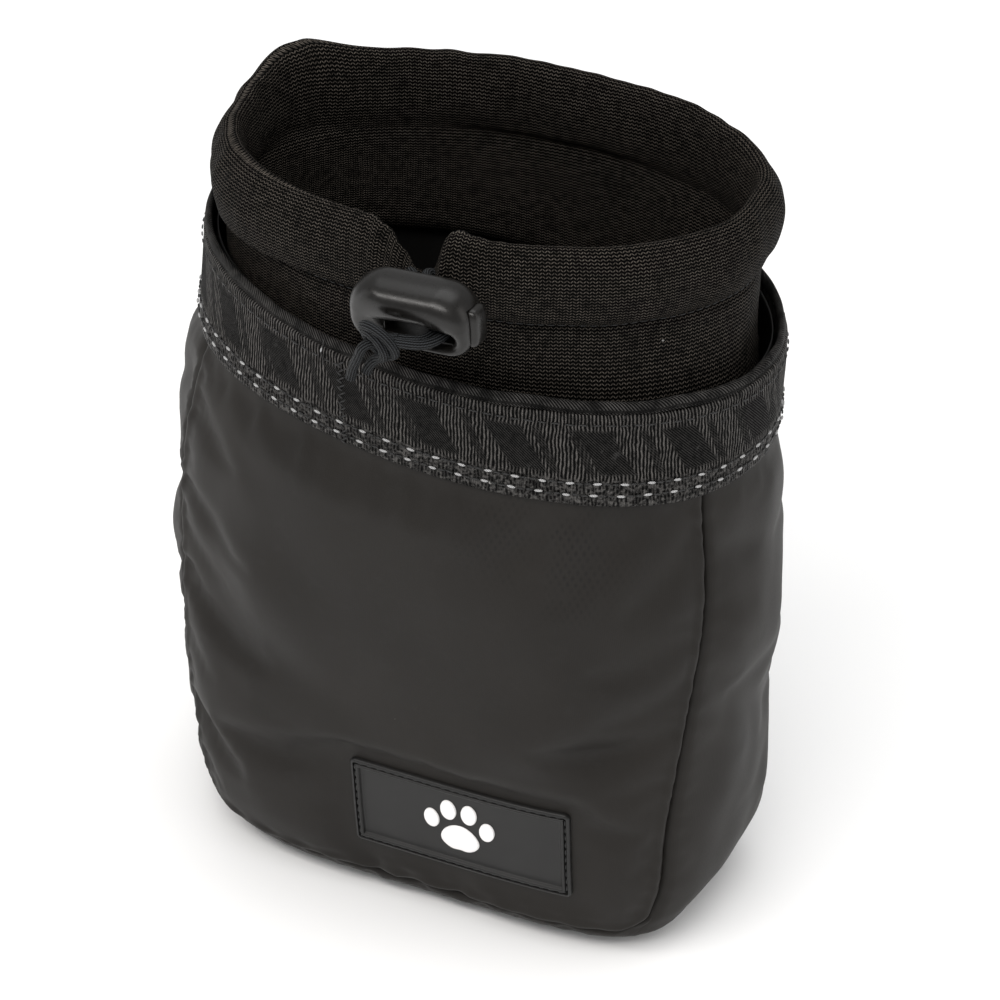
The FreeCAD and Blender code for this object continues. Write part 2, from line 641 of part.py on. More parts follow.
def make_clip():
    """A bent steel belt clip: a riveted base with its bend, and the tongue that springs off the belt."""
    near, far = 0.1, 0.1 + CLIP
    axis_y = far + CLIP_BEND
    bend_end = Vector(-CLIP_WIDTH / 2, axis_y, CLIP_TOP)
    bend = Part.makeCylinder(CLIP_BEND + CLIP, CLIP_WIDTH, bend_end, Vector(1, 0, 0))
    bend = bend.cut(Part.makeCylinder(CLIP_BEND, CLIP_WIDTH, bend_end, Vector(1, 0, 0)))
    bend = bend.common(slab(-CLIP_WIDTH, CLIP_WIDTH, -20, 20, CLIP_TOP, CLIP_TOP + 20))
    plate = slab(-CLIP_WIDTH / 2, CLIP_WIDTH / 2, near, far, CLIP_FOOT, CLIP_TOP)
    base = plate.fuse(bend).removeSplitter()
    inner = axis_y + CLIP_BEND
    outline = [
        (inner, CLIP_TOP - CLIP_GAP),
        (inner + CLIP, CLIP_TOP - CLIP_GAP),
        (inner + CLIP - CLIP_CROOK, CLIP_TIP + CLIP_FLARE),
        (inner + CLIP + CLIP_CROOK, CLIP_TIP),
        (inner + CLIP_CROOK, CLIP_TIP),
        (inner - CLIP_CROOK, CLIP_TIP + CLIP_FLARE),
    ]
    tongue = profile_solid(outline, CLIP_WIDTH - 1)
    rivets = []
    for z in (-RIVET_SPACING / 2, RIVET_SPACING / 2):
        hole = Part.makeCylinder(RIVET + 0.05, 12, Vector(0, -6, z), Vector(0, 1, 0))
        base = base.cut(hole)
        outer_head = Part.makeCylinder(RIVET_HEAD, RIVET_RISE, Vector(0, far + 0.02, z), Vector(0, 1, 0))
        inner_end = Vector(0, -STRAP - 0.02 - RIVET_RISE, z)
        inner_head = Part.makeCylinder(RIVET_HEAD, RIVET_RISE, inner_end, Vector(0, 1, 0))
        shank = Part.makeCylinder(RIVET, far + STRAP + 0.2, Vector(0, -STRAP - 0.1, z), Vector(0, 1, 0))
        rivets.append(on_strap(shank.fuse([outer_head, inner_head]).removeSplitter()))
    point, slope = clip_frame()
    axis = Vector(0, axis_y, CLIP_TOP)
    axis = FreeCAD.Rotation(Vector(1, 0, 0), -slope).multVec(axis) + point
    print("clip axis", [round(v, 3) for v in axis], "slope", round(slope, 2))
    return {
        "clip_base": on_strap(base),
        "clip_tongue": on_strap(tongue),
        "clip_rivets": Part.makeCompound(rivets),
    }


def main():
    os.makedirs("parts", exist_ok=True)
    nodes = make_shell()
    nodes["lining"] = make_lining()
    nodes["mouth_sleeve"] = make_sleeve()
    for group in (make_rim, make_hem, make_hem_stitching, make_drawcord, make_cord_lock, make_patch,
                  make_belt_loop, make_clip):
        nodes.update(group())
    for name, shape in nodes.items():
        shape.exportStep("parts/" + name + ".step")


main()
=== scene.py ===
import math
import random

import bmesh
import bpy
import numpy as np
from mathutils import Matrix, Vector


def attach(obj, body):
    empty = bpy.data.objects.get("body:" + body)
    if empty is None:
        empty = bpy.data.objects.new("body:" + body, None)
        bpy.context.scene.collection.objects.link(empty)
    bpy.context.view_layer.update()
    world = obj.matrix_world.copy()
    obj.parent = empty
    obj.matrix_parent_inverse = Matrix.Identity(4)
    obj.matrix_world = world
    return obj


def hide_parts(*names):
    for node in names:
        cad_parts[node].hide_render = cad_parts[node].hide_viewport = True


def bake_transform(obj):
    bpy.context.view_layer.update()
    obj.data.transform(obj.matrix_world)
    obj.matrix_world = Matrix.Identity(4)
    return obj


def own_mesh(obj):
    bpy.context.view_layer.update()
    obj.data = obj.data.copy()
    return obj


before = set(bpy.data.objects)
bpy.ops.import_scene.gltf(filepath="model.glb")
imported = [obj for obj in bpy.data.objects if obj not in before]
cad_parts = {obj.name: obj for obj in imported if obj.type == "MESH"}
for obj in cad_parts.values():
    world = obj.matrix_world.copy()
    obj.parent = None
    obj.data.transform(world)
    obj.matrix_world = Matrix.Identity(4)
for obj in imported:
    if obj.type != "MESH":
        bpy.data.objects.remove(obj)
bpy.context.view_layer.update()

# Everything below is worked out in millimetres in the CAD's frame and turned into metres as a mesh is made.
MM = 0.001
SEED = 7
RANDOM = random.Random(SEED)

# ---- sizes shared with the CAD part ----
# height, half width, half depth, squareness, centre x, centre y of the bag's outside
BAG = np.array([
    (0.0, 60.0, 30.6, 4.2, -1.0, 0.0),
    (3.0, 66.0, 34.0, 4.4, -1.0, 0.0),
    (9.0, 70.0, 36.5, 4.5, -1.0, 0.0),
    (18.0, 72.5, 38.5, 4.3, -1.0, 0.0),
    (45.0, 74.5, 42.0, 3.7, -1.0, 0.0),
    (80.0, 76.0, 46.0, 3.1, -0.7, 0.0),
    (115.0, 76.5, 49.8, 2.6, 0.0, 0.2),
    (146.0, 73.8, 51.8, 2.2, 1.0, 0.5),
    (170.2, 73.8, 53.8, 2.0, 2.0, 1.0),
    (176.0, 73.8, 54.0, 2.0, 2.0, 1.0),
])
SIDE_LEAN = -math.tan(math.radians(6.3))
FRONT_LEAN = math.tan(math.radians(1.7))
SEAM_Y = 30.0
SEAM_RISE = 9.0             # how much nearer to the sides' middle the seams run at the rim
WALL = 1.2
WEBBING_LOW = 146.0
# offsets are about the oval of each row: height, half width, half depth, squareness, centre x, centre y
COLLAR = np.array([
    (150.0, 70.3, 48.7, 2.0, 1.7, 0.6),
    (156.0, 69.7, 48.4, 2.0, 1.8, 0.5),
    (162.0, 69.2, 48.1, 2.0, 2.0, 0.4),
    (168.0, 69.0, 47.9, 2.0, 2.0, 0.3),
    (174.0, 68.9, 47.8, 2.0, 2.0, 0.2),
    (179.0, 69.0, 47.9, 2.0, 2.0, 0.1),
    (183.0, 68.7, 47.7, 2.0, 2.0, 0.0),
    (185.2, 68.0, 47.0, 2.0, 2.0, 0.0),
    (186.2, 69.0, 48.0, 2.1, 2.0, 0.0),
    (188.0, 70.9, 49.9, 2.1, 2.0, 0.0),
    (191.5, 72.0, 50.9, 2.1, 2.0, 0.0),
    (195.5, 72.4, 51.3, 2.1, 2.0, 0.0),
    (199.5, 71.9, 50.7, 2.1, 2.0, 0.0),
    (203.0, 70.6, 49.4, 2.1, 2.0, 0.0),
    (205.2, 68.9, 47.7, 2.1, 2.0, 0.0),
    (205.8, 67.4, 46.2, 2.1, 2.0, 0.0),
    (204.6, 65.9, 44.8, 2.1, 2.0, 0.0),
    (201.0, 64.9, 43.8, 2.1, 2.0, 0.0),
    (196.0, 64.3, 43.2, 2.1, 2.0, 0.0),
    (191.0, 64.6, 43.6, 2.1, 2.0, 0.0),
    (187.0, 65.8, 44.8, 2.1, 2.0, 0.0),
    (185.2, 67.2, 46.2, 2.0, 2.0, 0.0),
    (182.0, 66.8, 45.9, 2.0, 2.0, 0.0),
    (176.0, 66.9, 46.0, 2.0, 2.0, 0.1),
    (168.0, 67.2, 46.2, 2.0, 2.0, 0.3),
    (159.0, 67.8, 46.6, 2.0, 1.9, 0.4),
    (150.0, 68.6, 47.1, 2.0, 1.7, 0.6),
])
NOTCH_X = 8.0               # middle of the channel's opening at the front
CHANNEL_CORD = (195.0, 68.3, 47.2, 2.1, 2.0, 0.0)       # a row like the collar's, for the cord in the hem
HEM_GIRTH = (195.0, 70.0, 49.0, 2.05, 2.0, 0.0)         # and one for spacing loops and stitches evenly
CORD_RADIUS = 1.2
LOCK = np.array((13.4, -63.0, 194.6))      # the lock's centre
LOCK_TILT = math.radians(2.5)
LOCK_HALF = (15.75, 6.0, 8.25)
EYE = (2.5, -3.95, 8.9, 1.95)      # centre x, centre z, half length, half height of the lock's eye
PLUNGER_LOW, PLUNGER_HIGH, PLUNGER_DEPTH = -6.1, 3.6, 6.6
PLUNGER_HEEL, PLUNGER_NECK = -7.5, 14.6
BORE_END, BORE_MOUTH, BORE_CLEARANCE = -12.6, 22.0, 0.12
SPRING_COILS, SPRING_RADIUS, SPRING_WIRE, SPRING_PLAY = 4, 2.2, 0.6, 0.3
PATCH_X, PATCH_Z = 14.5, 33.5
PATCH_HALF_X, PATCH_HALF_Z = 30.5, 13.75
PATCH_CORNER = 1.6
PATCH_GROOVE = 1.3
STRAP_WIDTH, STRAP = 25.0, 1.6
STRAP_OFFSET, STRAP_SEWN = 8.0, 0.6
STRAP_PROFILE = [(141.0, 0), (131.0, 0), (123.0, 1), (77.0, 1), (69.0, 0), (59.0, 0)]
CLIP_HEIGHT, CLIP_WIDTH, CLIP = 100.0, 20.0, 1.2
CLIP_TOP, CLIP_FOOT, CLIP_TIP, CLIP_BEND = 24.0, -26.0, -29.0, 2.8


# ---- small helpers ----
def smoothstep(low, high, value):
    share = np.clip((value - low) / (high - low), 0.0, 1.0)
    return share * share * (3 - 2 * share)


def hermite(xs, ys, x):
    """Smooth curve through a table's rows; ys may hold several columns."""
    xs = np.asarray(xs, float)
    ys = np.asarray(ys, float)
    slopes = np.gradient(ys, xs, axis=0)
    x = np.clip(x, xs[0], xs[-1])
    i = np.clip(np.searchsorted(xs, x, side="right") - 1, 0, len(xs) - 2)
    span = (xs[i + 1] - xs[i])
    s = (x - xs[i]) / span
    if ys.ndim > 1:
        s, span = s[..., None], span[..., None]
    h00 = 2 * s**3 - 3 * s**2 + 1
    h10 = s**3 - 2 * s**2 + s
    h01 = -2 * s**3 + 3 * s**2
    h11 = s**3 - s**2
    return h00 * ys[i] + h10 * span * slopes[i] + h01 * ys[i + 1] + h11 * span * slopes[i + 1]


def bag_lean(z):
    return smoothstep(0.0, 150.0, z)


def sleeve_lean(z):
    return 1 - smoothstep(155.0, 183.0, z)


def oval(row, turn, grow=0.0):
    """Points of squared ovals at turns in radians; row's columns and turn are arrays of one shape."""
    a, b, n, cx, cy = (row[..., k] for k in range(1, 6))
    c, s = np.cos(turn), np.sin(turn)
    reach = (np.abs(c) ** n + np.abs(s) ** n + 1e-12) ** (-1 / n)
    return cx + (a + grow) * c * reach, cy + (b + grow) * s * reach


def seam_y(z, x, y):
    """Distance of a seam from the gusset's middle: the front right one closes in towards the rim."""
    return SEAM_Y - SEAM_RISE * smoothstep(30.0, 150.0, z) * ((x > 0) & (y < 0))


def bag_row(z):
    z = np.asarray(z, float)
    row = hermite(BAG[:, 0], BAG, z)
    row[..., 0] = z
    return row


def lean_by(x, y, z, lean):
    return z + lean * (SIDE_LEAN * x + FRONT_LEAN * y)


def bag_point(turn, z, grow=0.0):
    """The bag's outside at a turn and a height before leaning, as an array of points."""
    turn, z = np.broadcast_arrays(np.asarray(turn, float), np.asarray(z, float))
    x, y = oval(bag_row(z), turn, grow)
    return np.stack([x, y, lean_by(x, y, z, bag_lean(z))], -1)


def noise(points, scale, seed=0, octaves=2):
    """Smooth repeatable noise from -1 to 1 at points, by sums of sines in fixed random directions."""
    rng = np.random.default_rng(SEED + seed)
    total = np.zeros(points.shape[:-1])
    weight = 1.0
    norm = 0.0
    for _ in range(octaves):
        for _ in range(5):
            direction = rng.normal(size=3)
            direction /= np.linalg.norm(direction)
            total = total + weight * np.sin(points @ direction * (2 * math.pi / scale) + rng.uniform(0, 6.28))
        norm += weight * 2.2
        weight *= 0.5
        scale *= 0.5
    return total / norm


def grid_faces(rows, columns, wrap=False, flip=False):
    """Quads of a grid whose vertices run along columns first."""
    faces = []
    last = columns if wrap else columns - 1
    for i in range(rows - 1):
        for j in range(last):
            k = (j + 1) % columns
            quad = (i * columns + j, i * columns + k, (i + 1) * columns + k, (i + 1) * columns + j)
            faces.append(quad[::-1] if flip else quad)
    return faces


def end_caps(rows, columns):
    """The two faces that close a wrapped grid's first and last rows."""
    return [tuple(range(columns))[::-1], tuple((rows - 1) * columns + j for j in range(columns))]


def box(low, high):
    """Points, faces and uvs of a plain block about the lock's centre."""
    corners = [(x, y, z) for x in (low[0], high[0]) for y in (low[1], high[1]) for z in (low[2], high[2])]
    faces = [(0, 1, 3, 2), (4, 6, 7, 5), (0, 4, 5, 1), (2, 3, 7, 6), (0, 2, 6, 4), (1, 5, 7, 3)]
    return in_lock(corners), faces, np.zeros((8, 2))


def strip(line, out, section, widths):
    """A flat strip along a line, by a section of shares of its half width and heights off its middle."""
    rows = [line + np.stack([share * widths, 0 * widths, 0 * widths], -1) + out * up for share, up in section]
    faces = grid_faces(len(line), len(section), wrap=True)
    faces += [cap[::-1] for cap in end_caps(len(line), len(section))]
    return np.stack(rows, 1), faces


def crosswise(line):
    """Directions square to a line that lies in the plane x = 0."""
    tangent = np.gradient(line, axis=0)
    tangent /= np.linalg.norm(tangent, axis=1)[:, None]
    return np.cross(tangent, (1.0, 0.0, 0.0))


def new_object(name, points, faces, uv=None, smooth=True):
    """A mesh piece from points in millimetres; uv is one (u, v) pair a vertex, in millimetres."""
    mesh = bpy.data.meshes.new(name)
    mesh.from_pydata((np.asarray(points, float).reshape(-1, 3) * MM).tolist(), [], faces)
    mesh.validate()
    mesh.polygons.foreach_set("use_smooth", [smooth] * len(mesh.polygons))
    if uv is not None:
        layer = mesh.uv_layers.new(name="weave")
        uv = np.asarray(uv, float).reshape(-1, 2)
        corner = np.zeros(len(mesh.loops), int)
        mesh.loops.foreach_get("vertex_index", corner)
        layer.data.foreach_set("uv", uv[corner].astype(np.float32).ravel())
    obj = bpy.data.objects.new(name, mesh)
    bpy.context.scene.collection.objects.link(obj)
    return obj


def joined(parts):
    """Points, faces and uvs of several meshes as one."""
    points, faces, uvs = [], [], []
    count = 0
    for part_points, part_faces, part_uv in parts:
        part_points = np.asarray(part_points, float).reshape(-1, 3)
        points.append(part_points)
        uvs.append(np.asarray(part_uv, float).reshape(-1, 2))
        faces += [tuple(v + count for v in face) for face in part_faces]
        count += len(part_points)
    return np.concatenate(points), faces, np.concatenate(uvs)


def weld(obj, distance=0.01):
    """Merges vertices that lie on each other, and turns faces outwards."""
    work = bmesh.new()
    work.from_mesh(obj.data)
    bmesh.ops.remove_doubles(work, verts=work.verts, dist=distance * MM)
    bmesh.ops.recalc_face_normals(work, faces=work.faces)
    work.to_mesh(obj.data)
    work.free()


def apply_modifiers(obj):
    depsgraph = bpy.context.evaluated_depsgraph_get()
    mesh = bpy.data.meshes.new_from_object(obj.evaluated_get(depsgraph))
    obj.modifiers.clear()
    obj.data = mesh


def thicken(obj, thickness, offset=-1.0):
    modifier = obj.modifiers.new("thick", "SOLIDIFY")
    modifier.thickness = thickness * MM
    modifier.offset = offset
    modifier.use_rim = True
    apply_modifiers(obj)


def dress(obj, material, slot, body, *nodes):
    """Gives a piece its material and body, and hides the CAD nodes it stands for. Its slot is not used."""
    obj.data.materials.clear()
    obj.data.materials.append(material)
    if body:
        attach(obj, body)
    if nodes:
        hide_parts(*nodes)
    return obj


def frames_along(line, up=(0, 0, 1)):
    """Tangent and two steady crosswise directions along a line of points."""
    line = np.asarray(line, float)
    tangent = np.gradient(line, axis=0)
    tangent /= np.linalg.norm(tangent, axis=1)[:, None]
    normal = np.zeros_like(tangent)
    start = np.cross(tangent[0], np.asarray(up, float))
    if np.linalg.norm(start) < 1e-3:
        start = np.cross(tangent[0], (1.0, 0.0, 0.0))
    normal[0] = start / np.linalg.norm(start)
    for i in range(1, len(line)):
        n = normal[i - 1] - tangent[i] * (normal[i - 1] @ tangent[i])
        normal[i] = n / np.linalg.norm(n)
    return tangent, normal, np.cross(tangent, normal)


def spline(points, count):
    """A smooth line through given points, evenly spaced, and its length."""
    points = np.asarray(points, float)
    gaps = np.linalg.norm(np.diff(points, axis=0), axis=1)
    along = np.concatenate([[0], np.cumsum(np.sqrt(gaps))])
    fine = hermite(along, points, np.linspace(along[0], along[-1], 1600))
    steps = np.concatenate([[0], np.cumsum(np.linalg.norm(np.diff(fine, axis=0), axis=1))])
    wanted = np.linspace(0, steps[-1], count)
    return np.stack([np.interp(wanted, steps, fine[:, k]) for k in range(3)], -1), steps[-1]


def tube(line, radius, around=16, braid=0.0):
    """A round cord along a line, with the ridges of its braid; radius may be one number a point."""
    line = np.asarray(line, float)
    count = len(line)
    radius = np.broadcast_to(np.asarray(radius, float), (count,))
    _, normal, side = frames_along(line)
    steps = np.concatenate([[0], np.cumsum(np.linalg.norm(np.diff(line, axis=0), axis=1))])
    turn = 2 * math.pi * np.arange(around) / around
    strands = 8
    phase = steps[:, None] * (2 * math.pi / 2.6)
    ridge = np.maximum(np.sin(strands / 2 * turn[None] + phase), np.sin(strands / 2 * turn[None] - phase))
    r = radius[:, None] + braid * ridge
    ring = (line[:, None] + r[..., None] * (np.cos(turn)[None, :, None] * normal[:, None]
            + np.sin(turn)[None, :, None] * side[:, None]))
    points = ring.reshape(-1, 3)
    uv = np.stack(np.broadcast_arrays(turn[None] * radius.mean(), steps[:, None]), -1).reshape(-1, 2)
    faces = grid_faces(count, around, wrap=True)
    faces += end_caps(count, around)
    return points, faces, uv


def capsule(centre, along, normal, length, width, height, rings=5, around=8):
    """One thread of a seam: a small arched pad with round ends."""
    centre, along, normal = (np.asarray(v, float) for v in (centre, along, normal))
    along = along / np.linalg.norm(along)
    normal = normal / np.linalg.norm(normal)
    side = np.cross(normal, along)
    points, uv = [], []
    for i in range(rings):
        s = -1 + 2 * i / (rings - 1)
        swell = math.sqrt(max(0.06, 1 - s**4))
        for j in range(around):
            turn = 2 * math.pi * j / around
            points.append(centre + along * (s * length / 2)
                          + side * (math.cos(turn) * width / 2 * swell)
                          + normal * ((math.sin(turn) * height / 2 - (abs(s) ** 3) * height * 0.25) * swell))
            uv.append((s * length / 2, turn))
    return points, grid_faces(rings, around, wrap=True) + end_caps(rings, around), uv


# ---- materials ----
class Shader:
    """A node material built step by step."""

    def __init__(self, name):
        self.material = bpy.data.materials.new(name)
        self.material.use_nodes = True
        self.tree = self.material.node_tree
        self.tree.nodes.clear()
        self.surface = self.tree.nodes.new("ShaderNodeBsdfPrincipled")
        out = self.tree.nodes.new("ShaderNodeOutputMaterial")
        self.tree.links.new(self.surface.outputs[0], out.inputs[0])

    def put(self, socket, value):
        if isinstance(value, bpy.types.NodeSocket):
            self.tree.links.new(value, socket)
        else:
            socket.default_value = value

    def set(self, **values):
        names = {"color": "Base Color", "rough": "Roughness", "metal": "Metallic", "normal": "Normal",
                 "sheen": "Sheen Weight", "sheen_rough": "Sheen Roughness",
                 "specular": "Specular IOR Level"}
        for key, value in values.items():
            self.put(self.surface.inputs[names[key]], value)

    def node(self, kind, output, **inputs):
        node = self.tree.nodes.new(kind)
        for key, value in inputs.items():
            if key.startswith("in_"):
                self.put(node.inputs[key[3:].replace("_", " ")], value)
            else:
                setattr(node, key, value)
        return node.outputs[output]

    def math(self, operation, a, b=0.0, c=0.0):
        node = self.tree.nodes.new("ShaderNodeMath")
        node.operation = operation
        for socket, value in zip(node.inputs, (a, b, c)):
            self.put(socket, value)
        return node.outputs[0]

    def add(self, a, b):
        return self.math("ADD", a, b)

    def mul(self, a, b):
        return self.math("MULTIPLY", a, b)

    def sine(self, value, pitch):
        """From 0 to 1 and back over each pitch."""
        turned = self.mul(value, 2 * math.pi / pitch)
        return self.math("MULTIPLY_ADD", self.math("SINE", turned), 0.5, 0.5)

    def uv(self):
        uv = self.node("ShaderNodeUVMap", "UV", uv_map="weave")
        split = self.tree.nodes.new("ShaderNodeSeparateXYZ")
        self.tree.links.new(uv, split.inputs[0])
        return split.outputs[0], split.outputs[1]

    def place(self):
        return self.node("ShaderNodeTexCoord", "Object")

    def noise(self, scale, detail=3.0, rough=0.5, stretch=None):
        vector = self.place()
        if stretch is not None:
            mapping = self.tree.nodes.new("ShaderNodeMapping")
            mapping.inputs["Scale"].default_value = stretch
            self.tree.links.new(vector, mapping.inputs["Vector"])
            vector = mapping.outputs[0]
        return self.node("ShaderNodeTexNoise", "Fac", in_Vector=vector, in_Scale=scale, in_Detail=detail,
                         in_Roughness=rough)

    def ramp(self, value, low, high, to_low=0.0, to_high=1.0):
        return self.node("ShaderNodeMapRange", "Result", in_Value=value, in_From_Min=low, in_From_Max=high,
                         in_To_Min=to_low, in_To_Max=to_high)

    def mix(self, factor, a, b):
        node = self.tree.nodes.new("ShaderNodeMix")
        node.data_type = "RGBA"
        self.put(node.inputs[0], factor)
        self.put(node.inputs[6], a)
        self.put(node.inputs[7], b)
        return node.outputs[2]

    def bump(self, height, distance, strength=1.0):
        node = self.tree.nodes.new("ShaderNodeBump")
        node.inputs["Strength"].default_value = strength
        node.inputs["Distance"].default_value = distance * MM
        self.put(node.inputs["Height"], height)
        return node.outputs[0]

    def away_from(self, place):
        """Distance from a place on the object, in metres."""
        node = self.tree.nodes.new("ShaderNodeVectorMath")
        node.operation = "DISTANCE"
        self.put(node.inputs[0], self.place())
        node.inputs[1].default_value = place
        return node.outputs["Value"]

    def lint(self, color, amount=0.42):
        """A few pale specks of dust over a colour."""
        cells = 150.0
        cell = self.node("ShaderNodeTexVoronoi", "Distance", in_Vector=self.place(), in_Scale=cells)
        pick = self.node("ShaderNodeTexVoronoi", "Color", in_Vector=self.place(), in_Scale=cells)
        split = self.tree.nodes.new("ShaderNodeSeparateColor")
        self.tree.links.new(pick, split.inputs[0])
        rare = self.math("GREATER_THAN", split.outputs[0], 0.975)
        near = self.math("LESS_THAN", cell, 0.06)
        return self.mix(self.mul(self.mul(rare, near), amount), color, (0.5, 0.49, 0.47, 1))


def gray(value, warm=0.0):
    return (value * (1 + warm), value, value * (1 - warm), 1.0)


def make_shell_fabric():
    s = Shader("coated_fabric")
    u, v = s.uv()
    broad = s.noise(28.0, 3.0)
    fine = s.noise(1400.0, 2.0)
    first = s.sine(s.add(u, s.mul(v, 0.58)), 2.0)
    second = s.sine(s.add(u, s.mul(v, -0.58)), 2.0)
    emboss = s.mul(first, second)
    weave = s.mul(s.sine(u, 0.52), s.sine(v, 0.52))
    # the coating's embossed diamonds stand deeper in one spot at the upper right of the front, where grazing
    # light shows them, and there they are darkened as painted shade
    spot = s.add(s.away_from((0.042, -0.052, 0.128)), s.mul(s.noise(40.0, 2.0), 0.03))
    grazing_light_spot = s.mul(s.ramp(spot, 0.042, 0.02), s.ramp(s.noise(90.0, 2.0), 0.3, 0.5))
    height = s.add(s.mul(emboss, s.add(s.mul(grazing_light_spot, 1.6), 0.1)), s.mul(weave, 0.35))
    height = s.add(height, s.mul(fine, 0.25))
    color = s.mix(s.ramp(broad, 0.3, 0.7), gray(0.0085, 0.14), gray(0.0115, 0.14))
    # painted shade: the embossed diamonds are darkened in the spot where grazing light shows them
    color = s.mix(s.mul(s.mul(emboss, grazing_light_spot), 0.75), color, gray(0.003))
    color = s.mix(s.ramp(s.noise(260.0, 4.0), 0.55, 0.8, 0, 0.35), color, gray(0.015, 0.07))
    rough = s.ramp(broad, 0.25, 0.75, 0.46, 0.56)
    s.set(color=s.lint(color), rough=s.add(rough, s.mul(fine, 0.06)), specular=0.2,
          normal=s.bump(height, 0.05, 0.6))
    return s.material


def make_lining_fabric():
    s = Shader("smooth_lining")
    u, v = s.uv()
    weave = s.mul(s.sine(u, 0.45), s.sine(v, 0.45))
    soft = s.noise(60.0, 3.0)
    color = s.mix(soft, gray(0.003, 0.02), gray(0.007, 0.03))
    s.set(color=s.lint(color, 0.3), rough=s.ramp(soft, 0.3, 0.7, 0.36, 0.5), specular=0.24,
          normal=s.bump(s.add(s.mul(weave, 0.5), s.mul(soft, 0.7)), 0.08, 0.5))
    return s.material


def make_webbing():
    """Ribbed webbing with slanted bars in its own colour, and rough selvedges; the grooves between its ribs
    and twill threads are darkened as painted shade.
    """
    s = Shader("jacquard_webbing")
    u, v = s.uv()
    wave = s.mul(s.add(s.noise(90.0, 2.0), -0.5), 1.6)
    ribs = s.sine(s.add(s.add(u, wave), s.mul(s.noise(500.0, 2.0), 0.7)), 0.86)
    picks = s.sine(v, 0.55)
    twill = s.sine(s.add(u, v), 0.78)
    # slanted bars, wide and narrow, that all lean one way
    slant = s.add(s.add(u, s.mul(v, 0.55)), s.mul(wave, 1.4))
    bars = s.ramp(s.sine(slant, 21.0), 0.56, 0.68)
    narrow = s.ramp(s.sine(s.add(slant, s.mul(u, 0.37)), 11.5), 0.82, 0.9)
    middle = s.mul(s.ramp(v, 8.2, 9.4), s.ramp(v, 21.4, 20.4))
    figure = s.mul(s.math("MAXIMUM", bars, s.mul(narrow, 0.8)), middle)
    edge = s.math("MAXIMUM", s.ramp(v, 1.6, 0.4), s.ramp(v, 23.6, 24.6))
    lower = s.ramp(v, 8.0, 7.0)
    ground = s.add(s.mul(ribs, 0.75), s.mul(picks, 0.25))
    dull = s.add(s.mul(twill, 0.5), s.mul(picks, 0.3))
    height = s.node("ShaderNodeMix", 0, in_Factor=figure, in_A=ground, in_B=dull)
    height = s.add(height, s.mul(edge, s.mul(s.noise(1600.0, 3.0), 1.6)))
    height = s.add(height, s.mul(lower, s.mul(s.noise(1100.0, 2.0), 1.0)))
    heather = s.ramp(s.noise(640.0, 3.0), 0.3, 0.72, 0.25, 1.5)
    # painted shade: between the ribs, and between the bars' twill threads, the colour falls to near black
    # where shade falls; the heather is random tone
    thread = s.mix(s.mul(s.ramp(ribs, 0.4, 1.0), heather), gray(0.0002), gray(0.085, 0.06))
    dark = s.mix(s.mul(s.ramp(twill, 0.3, 0.95), heather), gray(0.0002), gray(0.022, 0.05))
    color = s.mix(figure, thread, dark)
    rough_edge = s.mix(s.ramp(s.noise(1100.0, 2.0), 0.46, 0.66), gray(0.0002), gray(0.09, 0.04))
    color = s.mix(s.mul(lower, 0.7), color, rough_edge)
    color = s.mix(s.ramp(s.noise(420.0, 3.0), 0.66, 0.74, 0, 0.35), color, gray(0.05, 0.02))
    rough = s.ramp(height, 0.2, 0.9, 0.95, 0.45)
    s.set(color=s.lint(color, 0.6), rough=rough, specular=0.1,
          normal=s.bump(height, 0.36, 1.0))
    return s.material


def make_binding():
    """The rim's turned upper edge: fine twill with a worn, lighter crest, and the grooves between its threads
    darkened as painted shade.
    """
    s = Shader("twill_binding")
    u, v = s.uv()
    twill = s.sine(s.add(u, s.mul(v, 0.8)), 0.85)
    fuzz = s.noise(1300.0, 3.0)
    worn = s.ramp(s.noise(300.0, 3.0), 0.35, 0.7, 0.2, 1.2)
    # painted shade: the grooves between the twill's threads go near black
    color = s.mix(s.mul(s.ramp(twill, 0.35, 1.0), worn), gray(0.0003), gray(0.06, 0.05))
    s.set(color=s.lint(color, 0.5), rough=0.6, specular=0.08,
          normal=s.bump(s.add(s.mul(twill, 0.8), s.mul(fuzz, 0.7)), 0.24, 0.9))
    return s.material


def make_knit():
    """Warp knit: columns of loops whose courses run in zigzags, with the gaps between the yarns and the yarns'
    flanks darkened as painted shade.
    """
    s = Shader("zigzag_knit")
    u, v = s.uv()
    drift = s.mul(s.add(s.noise(70.0, 2.0), -0.5), 1.2)
    across = s.add(u, drift)
    column = s.math("PINGPONG", across, 0.68)
    course = s.add(s.mul(v, 1 / 0.86), s.mul(column, 0.9))
    yarn = s.math("MULTIPLY_ADD", s.math("SINE", s.mul(course, 2 * math.pi)), 0.5, 0.5)
    split = s.ramp(s.math("ABSOLUTE", s.add(s.mul(column, 1 / 0.34), -1.0)), 0.66, 1.0, 1.0, 0.1)
    height = s.mul(s.ramp(yarn, 0.25, 0.95), split)
    fuzz = s.noise(2600.0, 2.0)
    uneven = s.ramp(s.noise(520.0, 2.0), 0.3, 0.7, 0.35, 1.3)
    # painted shade: the yarn's colour falls to near black down its flanks and in the gaps between yarns; the
    # unevenness is random tone
    shade = s.mul(s.mul(height, height), uneven)
    yarns = s.mix(s.noise(40.0, 2.0), gray(0.056, 0.14), gray(0.084, 0.16))
    color = s.mix(shade, gray(0.0002), yarns)
    s.set(color=s.lint(color, 0.4), rough=s.ramp(height, 0.2, 0.8, 0.95, 0.6), specular=0.06,
          normal=s.bump(s.add(height, s.mul(fuzz, 0.25)), 0.6, 1.0))
    return s.material


